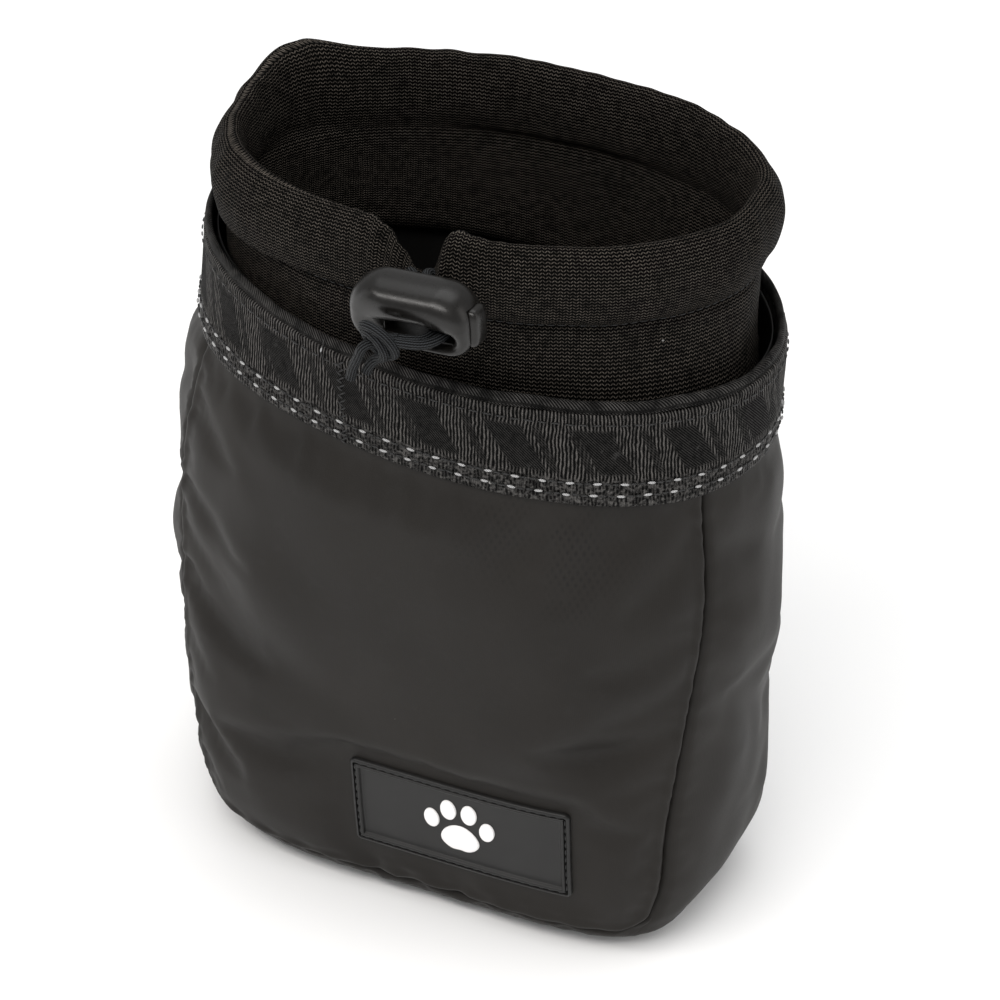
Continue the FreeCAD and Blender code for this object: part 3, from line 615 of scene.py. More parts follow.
def make_cord():
    s = Shader("braided_elastic")
    u, v = s.uv()
    lines = s.sine(u, 0.63)
    dots = s.sine(s.add(v, s.mul(u, 0.9)), 0.62)
    height = s.add(s.mul(lines, 0.75), s.mul(dots, 0.35))
    # painted shade: the grooves between the braid's ridges and dots go near black
    color = s.mix(s.ramp(height, 0.35, 1.0), gray(0.0002), gray(0.036, -0.08))
    s.set(color=color, rough=0.5, specular=0.12, sheen=0.01, sheen_rough=0.4,
          normal=s.bump(height, 0.26, 1.0))
    return s.material


def make_thread(name, dark, light, rough):
    s = Shader(name)
    u, v = s.uv()
    twist = s.sine(s.add(u, s.mul(v, 0.12)), 0.42)
    s.set(color=s.mix(twist, dark, light), rough=rough, specular=0.45,
          normal=s.bump(twist, 0.08, 0.7))
    return s.material


def make_lock_plastic():
    s = Shader("satin_plastic")
    scuffs = s.noise(900.0, 4.0, 0.7, stretch=(1.0, 1.0, 0.35))
    speck = s.noise(3200.0, 2.0)
    color = s.mix(scuffs, gray(0.003, 0.1), gray(0.006, 0.12))
    rough = s.ramp(scuffs, 0.35, 0.75, 0.27, 0.37)
    s.set(color=color, rough=rough, specular=0.4,
          normal=s.bump(s.add(s.mul(speck, 0.5), s.mul(scuffs, 0.5)), 0.02, 0.35))
    return s.material


def make_rubber(name, dark, light, rough, bump=0.03):
    s = Shader(name)
    broad = s.noise(120.0, 3.0)
    fine = s.noise(2600.0, 3.0)
    s.set(color=s.mix(broad, dark, light), rough=s.ramp(broad, 0.3, 0.7, rough - 0.05, rough + 0.05),
          specular=0.4, normal=s.bump(fine, bump, 0.6))
    return s.material


def make_metal(name, value, rough, metal, brush=(1.0, 14.0, 1.0)):
    s = Shader(name)
    grain = s.noise(700.0, 4.0, 0.6, stretch=brush)
    wear = s.noise(220.0, 4.0, 0.65)
    color = s.mix(s.ramp(wear, 0.62, 0.8), gray(value), gray(value * 2.2, 0.02))
    s.set(color=color, rough=s.ramp(grain, 0.3, 0.7, rough - 0.06, rough + 0.08), metal=metal,
          specular=0.5, normal=s.bump(grain, 0.015, 0.5))
    return s.material


SHELL_FABRIC = make_shell_fabric()
LINING_FABRIC = make_lining_fabric()
WEBBING = make_webbing()
BINDING = make_binding()
KNIT = make_knit()
CORD = make_cord()
WHITE_THREAD = make_thread("white_thread", gray(0.2), gray(0.42), 0.45)
BLACK_THREAD = make_thread("black_thread", gray(0.001), gray(0.01), 0.45)
PATCH_THREAD = make_thread("patch_thread", gray(0.003), gray(0.032), 0.4)
LOCK_PLASTIC = make_lock_plastic()
PATCH_RUBBER = make_rubber("patch_rubber", gray(0.0045, 0.03), gray(0.0075, 0.03), 0.46)
EMBLEM_RUBBER = make_rubber("emblem_rubber", gray(0.78, 0.01), gray(0.86, 0.01), 0.5, 0.015)
CLIP_STEEL = make_metal("black_oxide_steel", 0.02, 0.36, 0.6)
RIVET_STEEL = make_metal("blackened_steel", 0.12, 0.34, 1.0)
SPRING_STEEL = make_metal("drawn_steel", 0.5, 0.25, 1.0)


# ---- the bag: how its filled cloth bulges and creases ----
DRAPE_TURNS, DRAPE_ROWS = 150, 64
DRAPE_TOP = 172.0
FOOT_LIFT = 4.4
# folds of the front panel: x and height of one end and of the other, half width, and depth, outwards when
# above zero
FRONT_FOLDS = [
    (-60.0, 86.0, -18.0, 66.0, 8.0, -1.9),
    (-56.0, 108.0, -6.0, 84.0, 11.0, 1.3),
    (-62.0, 60.0, -30.0, 36.0, 10.0, 1.2),
    (16.0, 57.0, 66.0, 92.0, 8.0, 1.5),
    (30.0, 52.0, 70.0, 74.0, 7.0, -1.1),
    (10.0, 118.0, 60.0, 134.0, 9.0, -1.0),
    (-20.0, 140.0, 20.0, 100.0, 16.0, 0.8),
    (-10.0, 16.0, 40.0, 10.0, 7.0, 0.6),
]
# folds across the two sides: height, half width and depth
SIDE_FOLDS = [(60.0, 7.0, -1.6), (84.0, 11.0, 1.6), (108.0, 6.0, -1.1), (128.0, 9.0, 1.3), (34.0, 9.0, 1.2)]
DRAPE_SCALE = 10.0          # the cloth is simulated at ten times its size, where its solver is steady
DRAPE_STEPS = 24
DRAPE_LIMIT = 3.2


def fold_field(points):
    """Outward movement of the bag's cloth, in millimetres, from its longer folds."""
    x, y, z = points[..., 0], points[..., 1], points[..., 2]
    total = np.zeros(x.shape)
    front = smoothstep(-18.0, -34.0, y)
    for x0, z0, x1, z1, width, depth in FRONT_FOLDS:
        dx, dz = x1 - x0, z1 - z0
        share = np.clip(((x - x0) * dx + (z - z0) * dz) / (dx * dx + dz * dz), 0, 1)
        away = np.hypot(x - x0 - share * dx, z - z0 - share * dz)
        taper = 0.35 + 0.65 * np.sin(np.pi * np.clip(share, 0.04, 0.96))
        total = total + front * depth * taper * np.exp(-(away / width) ** 2)
    side = smoothstep(26.0, 12.0, np.abs(y)) * smoothstep(50.0, 66.0, np.abs(x))
    tilt = z + 0.5 * y
    for height, width, depth in SIDE_FOLDS:
        total = total + side * depth * np.exp(-((tilt - height - 6 * np.sign(x)) / width) ** 2)
    back = smoothstep(18.0, 34.0, y)
    total = total + back * 1.1 * noise(points * np.array([1.0, 0.4, 0.7]), 62.0, 3)
    total = total + 0.45 * noise(points, 34.0, 5)
    return total


def simulate_drape(points):
    """Lets the bag's cloth settle under pressure between its seams, and returns how far each point moved."""
    mesh = bpy.data.meshes.new("drape")
    mesh.from_pydata((points.reshape(-1, 3) * MM * DRAPE_SCALE).tolist(), [],
                     grid_faces(DRAPE_ROWS, DRAPE_TURNS, wrap=True))
    obj = bpy.data.objects.new("drape", mesh)
    bpy.context.scene.collection.objects.link(obj)
    group = obj.vertex_groups.new(name="held")
    flat = points.reshape(-1, 3)
    rows = np.repeat(np.arange(DRAPE_ROWS), DRAPE_TURNS)
    rest_z = rows / (DRAPE_ROWS - 1) * DRAPE_TOP
    seam = np.exp(-((np.abs(flat[:, 1]) - seam_y(rest_z, flat[:, 0], flat[:, 1])) / 2.2) ** 2)
    patch = ((np.abs(flat[:, 0] - PATCH_X) < PATCH_HALF_X + 2)
             & (np.abs(flat[:, 2] - PATCH_Z) < PATCH_HALF_Z + 2) & (flat[:, 1] < 0))
    strap = (np.abs(flat[:, 0]) < 13) & (flat[:, 1] > 0)
    held = np.maximum.reduce([seam, patch * 0.95, strap * 0.6, smoothstep(6.0, 1.0, rest_z),
                              smoothstep(138.0, 146.0, rest_z)])
    for index, weight in enumerate(held):
        group.add([index], float(min(1.0, max(0.02, weight))), "REPLACE")
    cloth = obj.modifiers.new("cloth", "CLOTH")
    settings = cloth.settings
    settings.quality = 5
    settings.mass = 0.25
    settings.tension_stiffness = 20
    settings.compression_stiffness = 12
    settings.shear_stiffness = 6
    settings.bending_stiffness = 1.2
    settings.vertex_group_mass = "held"
    settings.pin_stiffness = 1.0
    settings.shrink_min = -0.022
    settings.use_pressure = True
    settings.uniform_pressure_force = 0.6
    settings.effector_weights.gravity = 0.25
    cloth.collision_settings.use_collision = False
    cloth.point_cache.frame_start = 1
    cloth.point_cache.frame_end = DRAPE_STEPS + 2
    scene = bpy.context.scene
    for step in range(DRAPE_STEPS):
        scene.frame_set(step + 1)
    evaluated = obj.evaluated_get(bpy.context.evaluated_depsgraph_get())
    settled = np.zeros(len(flat) * 3)
    evaluated.data.vertices.foreach_get("co", settled)
    settled = settled.reshape(-1, 3) / (MM * DRAPE_SCALE)
    bpy.data.objects.remove(obj)
    scene.frame_set(1)
    return (settled - flat).reshape(points.shape)


def make_drape():
    """Movement of the bag's outside on a grid of turns and heights."""
    turns = 2 * math.pi * np.arange(DRAPE_TURNS) / DRAPE_TURNS
    heights = np.linspace(0, DRAPE_TOP, DRAPE_ROWS)
    points = bag_point(turns[None], heights[:, None])
    moved = np.zeros_like(points)
    moved = simulate_drape(points)
    size = np.linalg.norm(moved, axis=-1, keepdims=True)
    moved = moved * np.minimum(1.0, DRAPE_LIMIT / np.maximum(size, 1e-9))
    print("drape: largest move", round(float(size.max()), 2), "mean", round(float(size.mean()), 3))
    return moved


DRAPE = make_drape()


def sample_drape(turn, z):
    """The drape's movement at turns and heights, smoothly between grid points."""
    column = (np.asarray(turn) % (2 * math.pi)) / (2 * math.pi) * DRAPE_TURNS
    row = np.clip(np.asarray(z) / DRAPE_TOP * (DRAPE_ROWS - 1), 0, DRAPE_ROWS - 1.001)
    c0, r0 = np.floor(column).astype(int), np.floor(row).astype(int)
    fc, fr = (column - c0)[..., None], (row - r0)[..., None]
    c1 = (c0 + 1) % DRAPE_TURNS
    c0 = c0 % DRAPE_TURNS
    low = DRAPE[r0, c0] * (1 - fc) + DRAPE[r0, c1] * fc
    high = DRAPE[r0 + 1, c0] * (1 - fc) + DRAPE[r0 + 1, c1] * fc
    return low * (1 - fr) + high * fr


def turn_at(x, y, z):
    """Turn of the bag's oval that passes through a place on it at a height before leaning."""
    row = bag_row(z)
    a, b, cx, cy = row[..., 1], row[..., 2], row[..., 4], row[..., 5]
    return np.arctan2((y - cy) / b, (x - cx) / a)


def outward(turn, z):
    """Unit normals of the bag's outside."""
    step = 0.004
    along = bag_point(turn + step, z) - bag_point(turn - step, z)
    up = bag_point(turn, np.minimum(z + 0.5, 172)) - bag_point(turn, np.maximum(z - 0.5, 0))
    normal = np.cross(along, up)
    return normal / np.linalg.norm(normal, axis=-1, keepdims=True)


def bag_skin(turn, z, grow=0.0, folds=1.0):
    """The bag's cloth as it really lies: its drawn surface with its folds and its drape."""
    turn, z = np.broadcast_arrays(np.asarray(turn, float), np.asarray(z, float))
    base = bag_point(turn, z)
    held = smoothstep(1.0, 14.0, z) * smoothstep(150.0, 136.0, z)
    seam = 1 - 0.85 * np.exp(-((np.abs(base[..., 1]) - seam_y(z, base[..., 0], base[..., 1])) / 4.0) ** 2)
    on_patch = (smoothstep(PATCH_HALF_X + 10, PATCH_HALF_X, np.abs(base[..., 0] - PATCH_X))
                * smoothstep(PATCH_HALF_Z + 10, PATCH_HALF_Z, np.abs(base[..., 2] - PATCH_Z))
                * (base[..., 1] < 0))
    on_strap = smoothstep(24.0, 13.0, np.abs(base[..., 0])) * (base[..., 1] > 0)
    calm = held * seam * (1 - on_patch) * (1 - 0.85 * on_strap)
    free = smoothstep(0.5, 4.0, z) * smoothstep(150.0, 140.0, z) * (1 - on_patch)
    moved = sample_drape(turn, z) * free[..., None]
    out = outward(turn, z)
    # the pressed cloth may move in freely, but out only a little at the sides
    side = smoothstep(50.0, 68.0, np.abs(base[..., 0]))
    moved = moved * (1 - 0.55 * side * (base[..., 0] > 0))[..., None]
    left_swell = 1.7 * side * (base[..., 0] < 0) * held * smoothstep(20.0, 60.0, z)
    placed = base + out * (grow + folds * calm * fold_field(base) + left_swell)[..., None] + moved
    placed[..., 2] += foot_lift(base[..., 0], base[..., 1], z)
    return placed


def foot_lift(x, y, z):
    """The bag's foot rises off the ground towards its two ends, except at its front right corner."""
    ends = smoothstep(34.0, 66.0, np.abs(x + 1.0)) * np.where(x > 0, smoothstep(-34.0, -6.0, y), 1.0)
    return FOOT_LIFT * ends * (1 - smoothstep(0.0, 34.0, z))


# ---- the bag's panels ----
def seam_turns(z, side):
    """Turns where the front (-1) or back (+1) seam crosses a height, on the right and on the left."""
    row = bag_row(z)
    b, n, cy = row[..., 2], row[..., 3], row[..., 5]
    turns = []
    for end in (1, -1):
        high = np.clip(np.abs(side * seam_y(z, end, side) - cy) / b, 0, 0.99999)
        turns.append(np.arctan2(side * high, end * (1 - high ** n) ** (1 / n)))
    return turns


def even_turns(start, end, z, shares):
    """Turns between two, spaced along the oval by shares from -1 to 1."""
    fine = start[..., None] + (end - start)[..., None] * np.linspace(0, 1, 400)
    x, y = oval(bag_row(np.broadcast_to(z[..., None], fine.shape)), fine)
    steps = np.hypot(np.diff(x, axis=-1), np.diff(y, axis=-1))
    along = np.concatenate([np.zeros(fine.shape[:-1] + (1,)), np.cumsum(steps, -1)], -1)
    turns = np.empty(fine.shape[:-1] + (len(shares),))
    for i in range(len(fine)):
        turns[i] = np.interp((shares + 1) / 2 * along[i, -1], along[i], fine[i])
    return turns, along[:, -1]


FOOT_SEAM, FOOT_CORNER = 8.2, 8.0      # height of the seam along a panel's foot, and its corner radius
SEAM_BEND = [(0.35, 0.12), (0.62, 0.42), (0.75, 0.9), (0.72, 1.6), (0.6, 2.6)]      # outwards and down


def panel_heights():
    return np.concatenate([np.arange(0.0, 15.0, 0.42), np.arange(15.2, 160.1, 1.6)])


def panel_shares():
    """Places across a panel from -1 to 1, closer together near its seams."""
    near = 1 - np.arange(0.0, 0.2, 0.0055)
    return np.concatenate([-near, np.linspace(-0.79, 0.79, 84), near[::-1]])


def from_outline(from_side, height):
    """Distance inside a panel's seam line, which turns round the foot's corners."""
    x, z = FOOT_CORNER - from_side, FOOT_CORNER - (height - FOOT_SEAM)
    corner = FOOT_CORNER - np.hypot(np.maximum(x, 0), np.maximum(z, 0))
    return np.where((x > 0) & (z > 0), corner, np.minimum(from_side, height - FOOT_SEAM))


def turned_edge(points, normals, inwards, sign):
    """Rows added beside a panel's edge, where the cloth turns down into its seam."""
    return [points + sign * inwards * across - normals * down for across, down in SEAM_BEND]


def make_face_panel(name, side, node):
    """Front or back panel: rows by height, with the cloth turned in along its seam."""
    z = panel_heights()
    right, left = seam_turns(z, side)
    start, end = right, left
    if side < 0:
        start, end = np.where(left > 0, left - 2 * math.pi, left), right
    reach = panel_shares()
    columns = len(reach)
    turns, lengths = even_turns(start, end, z, reach)
    heights = np.broadcast_to(z[:, None], turns.shape)
    points = bag_skin(turns, heights)
    normals = outward(turns, heights)
    # crown: the panel swells a little between its seams
    from_edge = from_outline((1 - np.abs(reach))[None] * lengths[:, None] / 2, heights)
    inside = smoothstep(0.0, 12.0, from_edge)
    crown = 0.9 * inside * (1 - np.abs(reach) ** 8)[None] * smoothstep(150, 130, z)[:, None]
    groove = -1.9 * np.exp(-(from_edge / 0.8) ** 2) - 0.5 * smoothstep(0.2, -1.2, from_edge)
    lip = 0.5 * np.exp(-((from_edge - 2.1) / 1.2) ** 2)
    pucker = 0.2 * np.sin(heights * 2 * math.pi / 7.0 + 2.0 * np.sin(heights * 0.23) + reach * 40.0)
    pucker = pucker * np.exp(-((from_edge - 2.5) / 2.6) ** 2)
    points = points + normals * (crown + groove + lip + pucker)[..., None]
    rows = []
    for edge in (0, -1):
        tangent = points[:, 1] - points[:, 0] if edge == 0 else points[:, -2] - points[:, -1]
        tangent = tangent / np.linalg.norm(tangent, axis=1)[:, None]
        rows.append(turned_edge(points[:, edge], normals[:, edge], tangent, -1.0))
    full = np.stack([*rows[0][::-1], *[points[:, j] for j in range(columns)], *rows[1]], 1)
    count = full.shape[1]
    extra = len(rows[0])
    past = np.arange(1, extra + 1) * 0.01
    wide_reach = np.concatenate([reach[0] - past[::-1], reach, reach[-1] + past])
    middle = lengths[:, None] / 2 * wide_reach[None]
    uv = np.stack([middle, heights[:, :1] + 0 * middle], -1)
    full[..., 2] = np.maximum(full[..., 2], 0.05)
    obj = new_object(name, full, grid_faces(len(z), count), uv)
    thicken(obj, WALL * 0.75)
    return dress(obj, SHELL_FABRIC, "shell_fabric", "pouch", node)


def make_gusset():
    """One strip down the left side, across the bottom and up the right side."""
    ys = np.linspace(-SEAM_Y, SEAM_Y, 44)
    steps = 260
    columns = []
    z = np.concatenate([np.linspace(160, 10, 120), np.linspace(9.8, 0, 50)])
    for share in ys / SEAM_Y:
        row = bag_row(z)
        b, n, cy = row[:, 2], row[:, 3], row[:, 5]
        sides = []
        for end in (1, -1):
            y = share * seam_y(z, end, share)
            high = np.clip(np.abs(y - cy) / b, 0, 0.99999)
            sides.append(np.arctan2(np.sign(y - cy + 1e-9) * high, end * (1 - high ** n) ** (1 / n)))
        right, left = sides
        right_side = bag_skin(right, z)
        left_side = bag_skin(left, z)[::-1]
        right_out, left_out = outward(right, z), outward(left, z)[::-1]
        across = np.linspace(0, 1, 60)[1:-1, None]
        bottom = right_side[-1] * (1 - across) + left_side[0] * across
        bottom[:, 2] = foot_lift(bottom[:, 0], bottom[:, 1], 0.0 * bottom[:, 0])
        bottom_out = np.tile(np.array([[0.0, 0.0, -1.0]]), (len(bottom), 1))
        line = np.concatenate([right_side, bottom, left_side])
        out = np.concatenate([right_out, bottom_out, left_out])
        heights = np.concatenate([z, np.zeros(len(bottom)), z[::-1]])
        along = np.concatenate([[0], np.cumsum(np.linalg.norm(np.diff(line, axis=0), axis=1))])
        wanted = np.linspace(0, along[-1], steps)
        columns.append([np.stack([np.interp(wanted, along, line[:, k]) for k in range(3)], -1),
                        np.stack([np.interp(wanted, along, out[:, k]) for k in range(3)], -1),
                        np.interp(wanted, along, heights), wanted])
    points = np.stack([c[0] for c in columns], 1)
    normals = np.stack([c[1] for c in columns], 1)
    normals = normals / np.linalg.norm(normals, axis=-1, keepdims=True)
    heights = np.stack([c[2] for c in columns], 1)
    along = np.stack([c[3] for c in columns], 1)
    reach = ys / SEAM_Y
    from_edge = (1 - np.abs(reach)) * SEAM_Y
    crown = 0.8 * (1 - np.abs(reach) ** 4)[None] * smoothstep(4, 26, heights) * smoothstep(150, 128, heights)
    roll = -1.7 * np.exp(-(from_edge / 0.9) ** 2)[None] * smoothstep(8.0, 17.0, heights)
    roll = roll - 0.5 * (1 - smoothstep(7.0, 16.0, heights))
    pucker = 0.2 * np.sin(along * 2 * math.pi / 6.1) * np.exp(-(from_edge / 4.0) ** 2)[None]
    pucker = pucker * smoothstep(8, 20, heights)
    points = points + normals * (crown + roll + pucker)[..., None]
    edges = []
    for edge, other in ((0, 1), (-1, -2)):
        tangent = points[:, other] - points[:, edge]
        tangent = tangent / np.linalg.norm(tangent, axis=1)[:, None]
        low = smoothstep(0.0, 3.0, heights[:, edge])[:, None]
        turned = turned_edge(points[:, edge], normals[:, edge] * (0.25 + 0.75 * low), tangent, -0.55)
        edges.append(turned)
    full = np.stack([*edges[0][::-1], *[points[:, j] for j in range(len(ys))], *edges[1]], 1)
    full[..., 2] = np.maximum(full[..., 2], 0.0)
    count = full.shape[1]
    past = np.array([0.2, 0.5, 0.9, 1.6, 2.6])
    uv_y = np.concatenate([ys[0] - past[::-1], ys, ys[-1] + past])
    uv = np.stack(np.broadcast_arrays(uv_y[None], along[:, :1]), -1)
    obj = new_object("gusset_cloth", full, grid_faces(steps, count, flip=True), uv)
    thicken(obj, WALL * 0.7)
    return dress(obj, SHELL_FABRIC, "shell_fabric", "pouch", "gusset")


def make_lining():
    """The lining inside the panels, up to the rim, with its flat bottom."""
    turns = 2 * math.pi * np.arange(160) / 160
    heights = np.concatenate([[1.9, 2.6, 4.0, 6.0, 9.0], np.arange(14, 171.1, 4.0), [171.5]])
    points = bag_point(turns[None], np.maximum(heights, 1.9)[:, None], -WALL - 0.7)
    free = smoothstep(4, 20, heights) * smoothstep(171, 160, heights)
    wrinkle = 0.5 * noise(points, 38.0, 11) * free[:, None]
    out = outward(turns[None] + 0 * points[..., 0], heights[:, None] + 0 * points[..., 0])
    points = points + out * np.minimum(0, wrinkle - 0.35)[..., None]
    centre = points[0].mean(0)
    floor = [centre + (points[0] - centre) * k for k in (0.25, 0.5, 0.75, 0.93)]
    full = np.stack([*floor, *points], 0)
    rows = len(full)
    uv = np.stack(np.broadcast_arrays((turns * 60)[None], (np.arange(rows) * 4.0)[:, None]), -1)
    cap = tuple(range(len(turns)))
    obj = new_object("lining_cloth", full, grid_faces(rows, len(turns), wrap=True) + [cap[::-1]], uv)
    thicken(obj, 0.4, 1.0)
    return dress(obj, LINING_FABRIC, "lining_fabric", "pouch", "lining")


# ---- the rim ----
def ring_lengths(row, turns):
    x, y = oval(np.broadcast_to(row, turns.shape + (6,)), turns)
    steps = np.hypot(np.diff(np.append(x, x[0])), np.diff(np.append(y, y[0])))
    return np.concatenate([[0], np.cumsum(steps)])


def even_ring(row, count, phase=0.0):
    """Turns evenly spaced along an oval, and the distance between them."""
    fine = 2 * math.pi * np.arange(3000) / 3000
    lengths = ring_lengths(row, fine)
    wanted = (np.arange(count) + phase) % count * lengths[-1] / count
    return np.interp(wanted, lengths, np.append(fine, 2 * math.pi)), lengths[-1]


def make_webbing_band():
    """The woven band: a closed flat section carried around the rim, slightly wavy, with soft selvedges."""
    count = 560
    turns, length = even_ring(bag_row(158.0), count)
    section = [(0.0, 0.35), (0.15, 1.15), (0.5, 1.55), (1.2, 1.72), (3.2, 1.62), (4.8, 1.75), (6.4, 1.62),
               (8.0, 1.8), (12.0, 1.85), (16.0, 1.85), (20.0, 1.8), (22.4, 1.66), (23.8, 1.72), (24.5, 1.5),
               (24.85, 1.1), (25.0, 0.35), (24.6, 0.2), (16.0, 0.2), (8.0, 0.2), (0.4, 0.2)]
    along = np.arange(count) * length / count
    rows, uv = [], []
    sway = 0.35 * np.sin(turns * 3 + 0.6) + 0.25 * np.sin(turns * 7 + 2.0)
    for height, offset in section:
        z = WEBBING_LOW + height + sway * 0.6
        base = bag_point(turns, z)
        out = outward(turns, z)
        swell = 0.25 * noise(base, 46.0, 21)
        if height < 1 or height > 24:
            swell = swell + 0.10 * noise(base, 2.2, 22, 1)
        gather = 0.18 * np.sin(along * 2 * math.pi / 6.4) * math.exp(-((height - 4.8) / 3.0) ** 2)
        rows.append(base + out * (offset + (swell + gather) * (offset > 0.4))[..., None])
        uv.append(np.stack([along, np.full(count, height)], -1))
    rows.append(rows[0])
    uv.append(uv[0])
    obj = new_object("rim_webbing_band", np.stack(rows), grid_faces(len(rows), count, wrap=True), np.stack(uv))
    weld(obj)
    return dress(obj, WEBBING, "webbing", "pouch", "rim_webbing")


def make_lip():
    """Smooth rolled edge that stands above the webbing."""
    count = 360
    turns, length = even_ring(bag_row(171.0), count)
    section = []
    for k in range(14):
        turn = 2 * math.pi * k / 14
        section.append((172.3 + 1.9 * math.sin(turn), 0.25 + 0.95 * math.cos(turn)))
    rows, uv = [], []
    for index, (height, offset) in enumerate(section):
        ripple = 0.22 * np.sin(turns * 11 + 1.0) + 0.16 * np.sin(turns * 23 + 2.2)
        base = bag_point(turns, np.full(count, min(height, 171.0)))
        base[:, 2] += height - min(height, 171.0) + ripple
        out = outward(turns, np.full(count, 170.0))
        out[:, 2] = 0
        rows.append(base + out * (offset + 0.15 * noise(base, 18.0, 31))[..., None])
        uv.append(np.stack([np.arange(count) * length / count, np.full(count, index * 0.8)], -1))
    rows.append(rows[0])
    uv.append(uv[0])
    obj = new_object("rim_rolled_edge", np.stack(rows), grid_faces(len(rows), count, wrap=True), np.stack(uv))
    weld(obj)
    return dress(obj, BINDING, "webbing", "pouch", "rim_lip")


def rim_threads(height, pitch, length, width, high, offset, phase, jitter):
    """Threads of one stitch row around the webbing."""
    row = bag_row(WEBBING_LOW + height)
    count = round(ring_lengths(row, 2 * math.pi * np.arange(1500) / 1500)[-1] / pitch)
    turns, _ = even_ring(row, count, phase)
    parts = []
    for turn in turns:
        z = WEBBING_LOW + height + RANDOM.uniform(-jitter, jitter)
        base = bag_point(turn, z)
        out = outward(np.array(turn), np.array(z))
        along = bag_point(turn + 0.004, z) - bag_point(turn - 0.004, z)
        along = along / np.linalg.norm(along) + np.array([0, 0, RANDOM.uniform(-0.1, 0.1)])
        size = length * RANDOM.uniform(0.9, 1.08)
        parts.append(capsule(base + out * offset, along, out, size, width, high))
    return parts


def make_rim_stitches():
    white, dark = [], []
    for height in (3.2, 6.4):
        white += rim_threads(height, 6.4, 2.0, 0.68, 0.6, 2.0, 0.0 if height < 4 else 0.12, 0.14)
        dark += rim_threads(height, 6.4, 1.9, 0.6, 0.45, 1.85, 0.34 if height < 4 else 0.46, 0.1)
        dark += rim_threads(height, 6.4, 1.9, 0.6, 0.45, 1.85, 0.66 if height < 4 else 0.78, 0.1)
    obj = new_object("rim_white_stitches", *joined(white))
    dress(obj, WHITE_THREAD, "white_thread", "pouch", "rim_stitching_lower")
    obj = new_object("rim_black_stitches", *joined(dark))
    dress(obj, BLACK_THREAD, "black_thread", "pouch")
    fine = rim_threads(22.4, 3.2, 2.3, 0.5, 0.4, 1.95, 0.0, 0.08)
    obj = new_object("rim_upper_stitches", *joined(fine))
    dress(obj, BLACK_THREAD, "black_thread", "pouch", "rim_stitching_upper")


def make_bar_tack():
    """Where the webbing's ends overlap: a column of close stitches and one loose thread."""
    parts = []
    x = -11.0
    for step in range(22):
        height = 1.2 + step * 1.06
        z = WEBBING_LOW + height
        turn = turn_at(np.array(x + (0.35 if step % 2 else -0.35)), np.array(-50.0), np.array(z))
        out = outward(turn, np.array(z))
        base = bag_point(turn, z)
        parts.append(capsule(base + out * 2.0, (1.0, 0.0, 0.7 if step % 2 else -0.7), out, 1.9, 0.45, 0.4))
    obj = new_object("rim_bar_tack", *joined(parts))
    dress(obj, BLACK_THREAD, "black_thread", "pouch")
    z = WEBBING_LOW + 24.0
    turn = turn_at(np.array(-16.0), np.array(-50.0), np.array(z))
    top = bag_point(turn, z) + outward(turn, np.array(z)) * 2.0
    loose = ((0, 0.6, 3.4), (0.4, -0.4, 2.0), (-0.2, -0.5, 0.4), (0.3, -0.3, -1.6), (0, 0, -3.4))
    line, _ = spline([top + np.array(p) for p in loose], 24)
    obj = new_object("rim_loose_thread", *tube(line, 0.14, 8))
    dress(obj, BLACK_THREAD, "black_thread", "pouch")
    tuft = capsule(line[9] + np.array([0, -0.1, 0]), line[12] - line[8], (0, -1, 0), 1.5, 0.42, 0.35)
    obj = new_object("rim_thread_tuft", *tuft)
    dress(obj, WHITE_THREAD, "white_thread", "pouch")


# ---- the knitted mouth ----
COLLAR_TURNS = 640


def collar_notch(x, y):
    """How much a place on the hem belongs to the channel's opening at the front."""
    left = np.exp(-(np.maximum(NOTCH_X - x, 0) / 8.6) ** 2.1)
    right = np.exp(-(np.maximum(x - NOTCH_X, 0) / 4.0) ** 3.0)
    return left * right * smoothstep(0.0, -20.0, y)


def collar_bunch(x, y):
    """The gathered ends of the hem at each side of the opening."""
    left = np.exp(-((x - NOTCH_X + 13.0) / 6.0) ** 2)
    right = np.exp(-((x - NOTCH_X - 8.0) / 4.6) ** 2)
    return (left * 0.5 + right * 1.3) * smoothstep(0.0, -20.0, y)


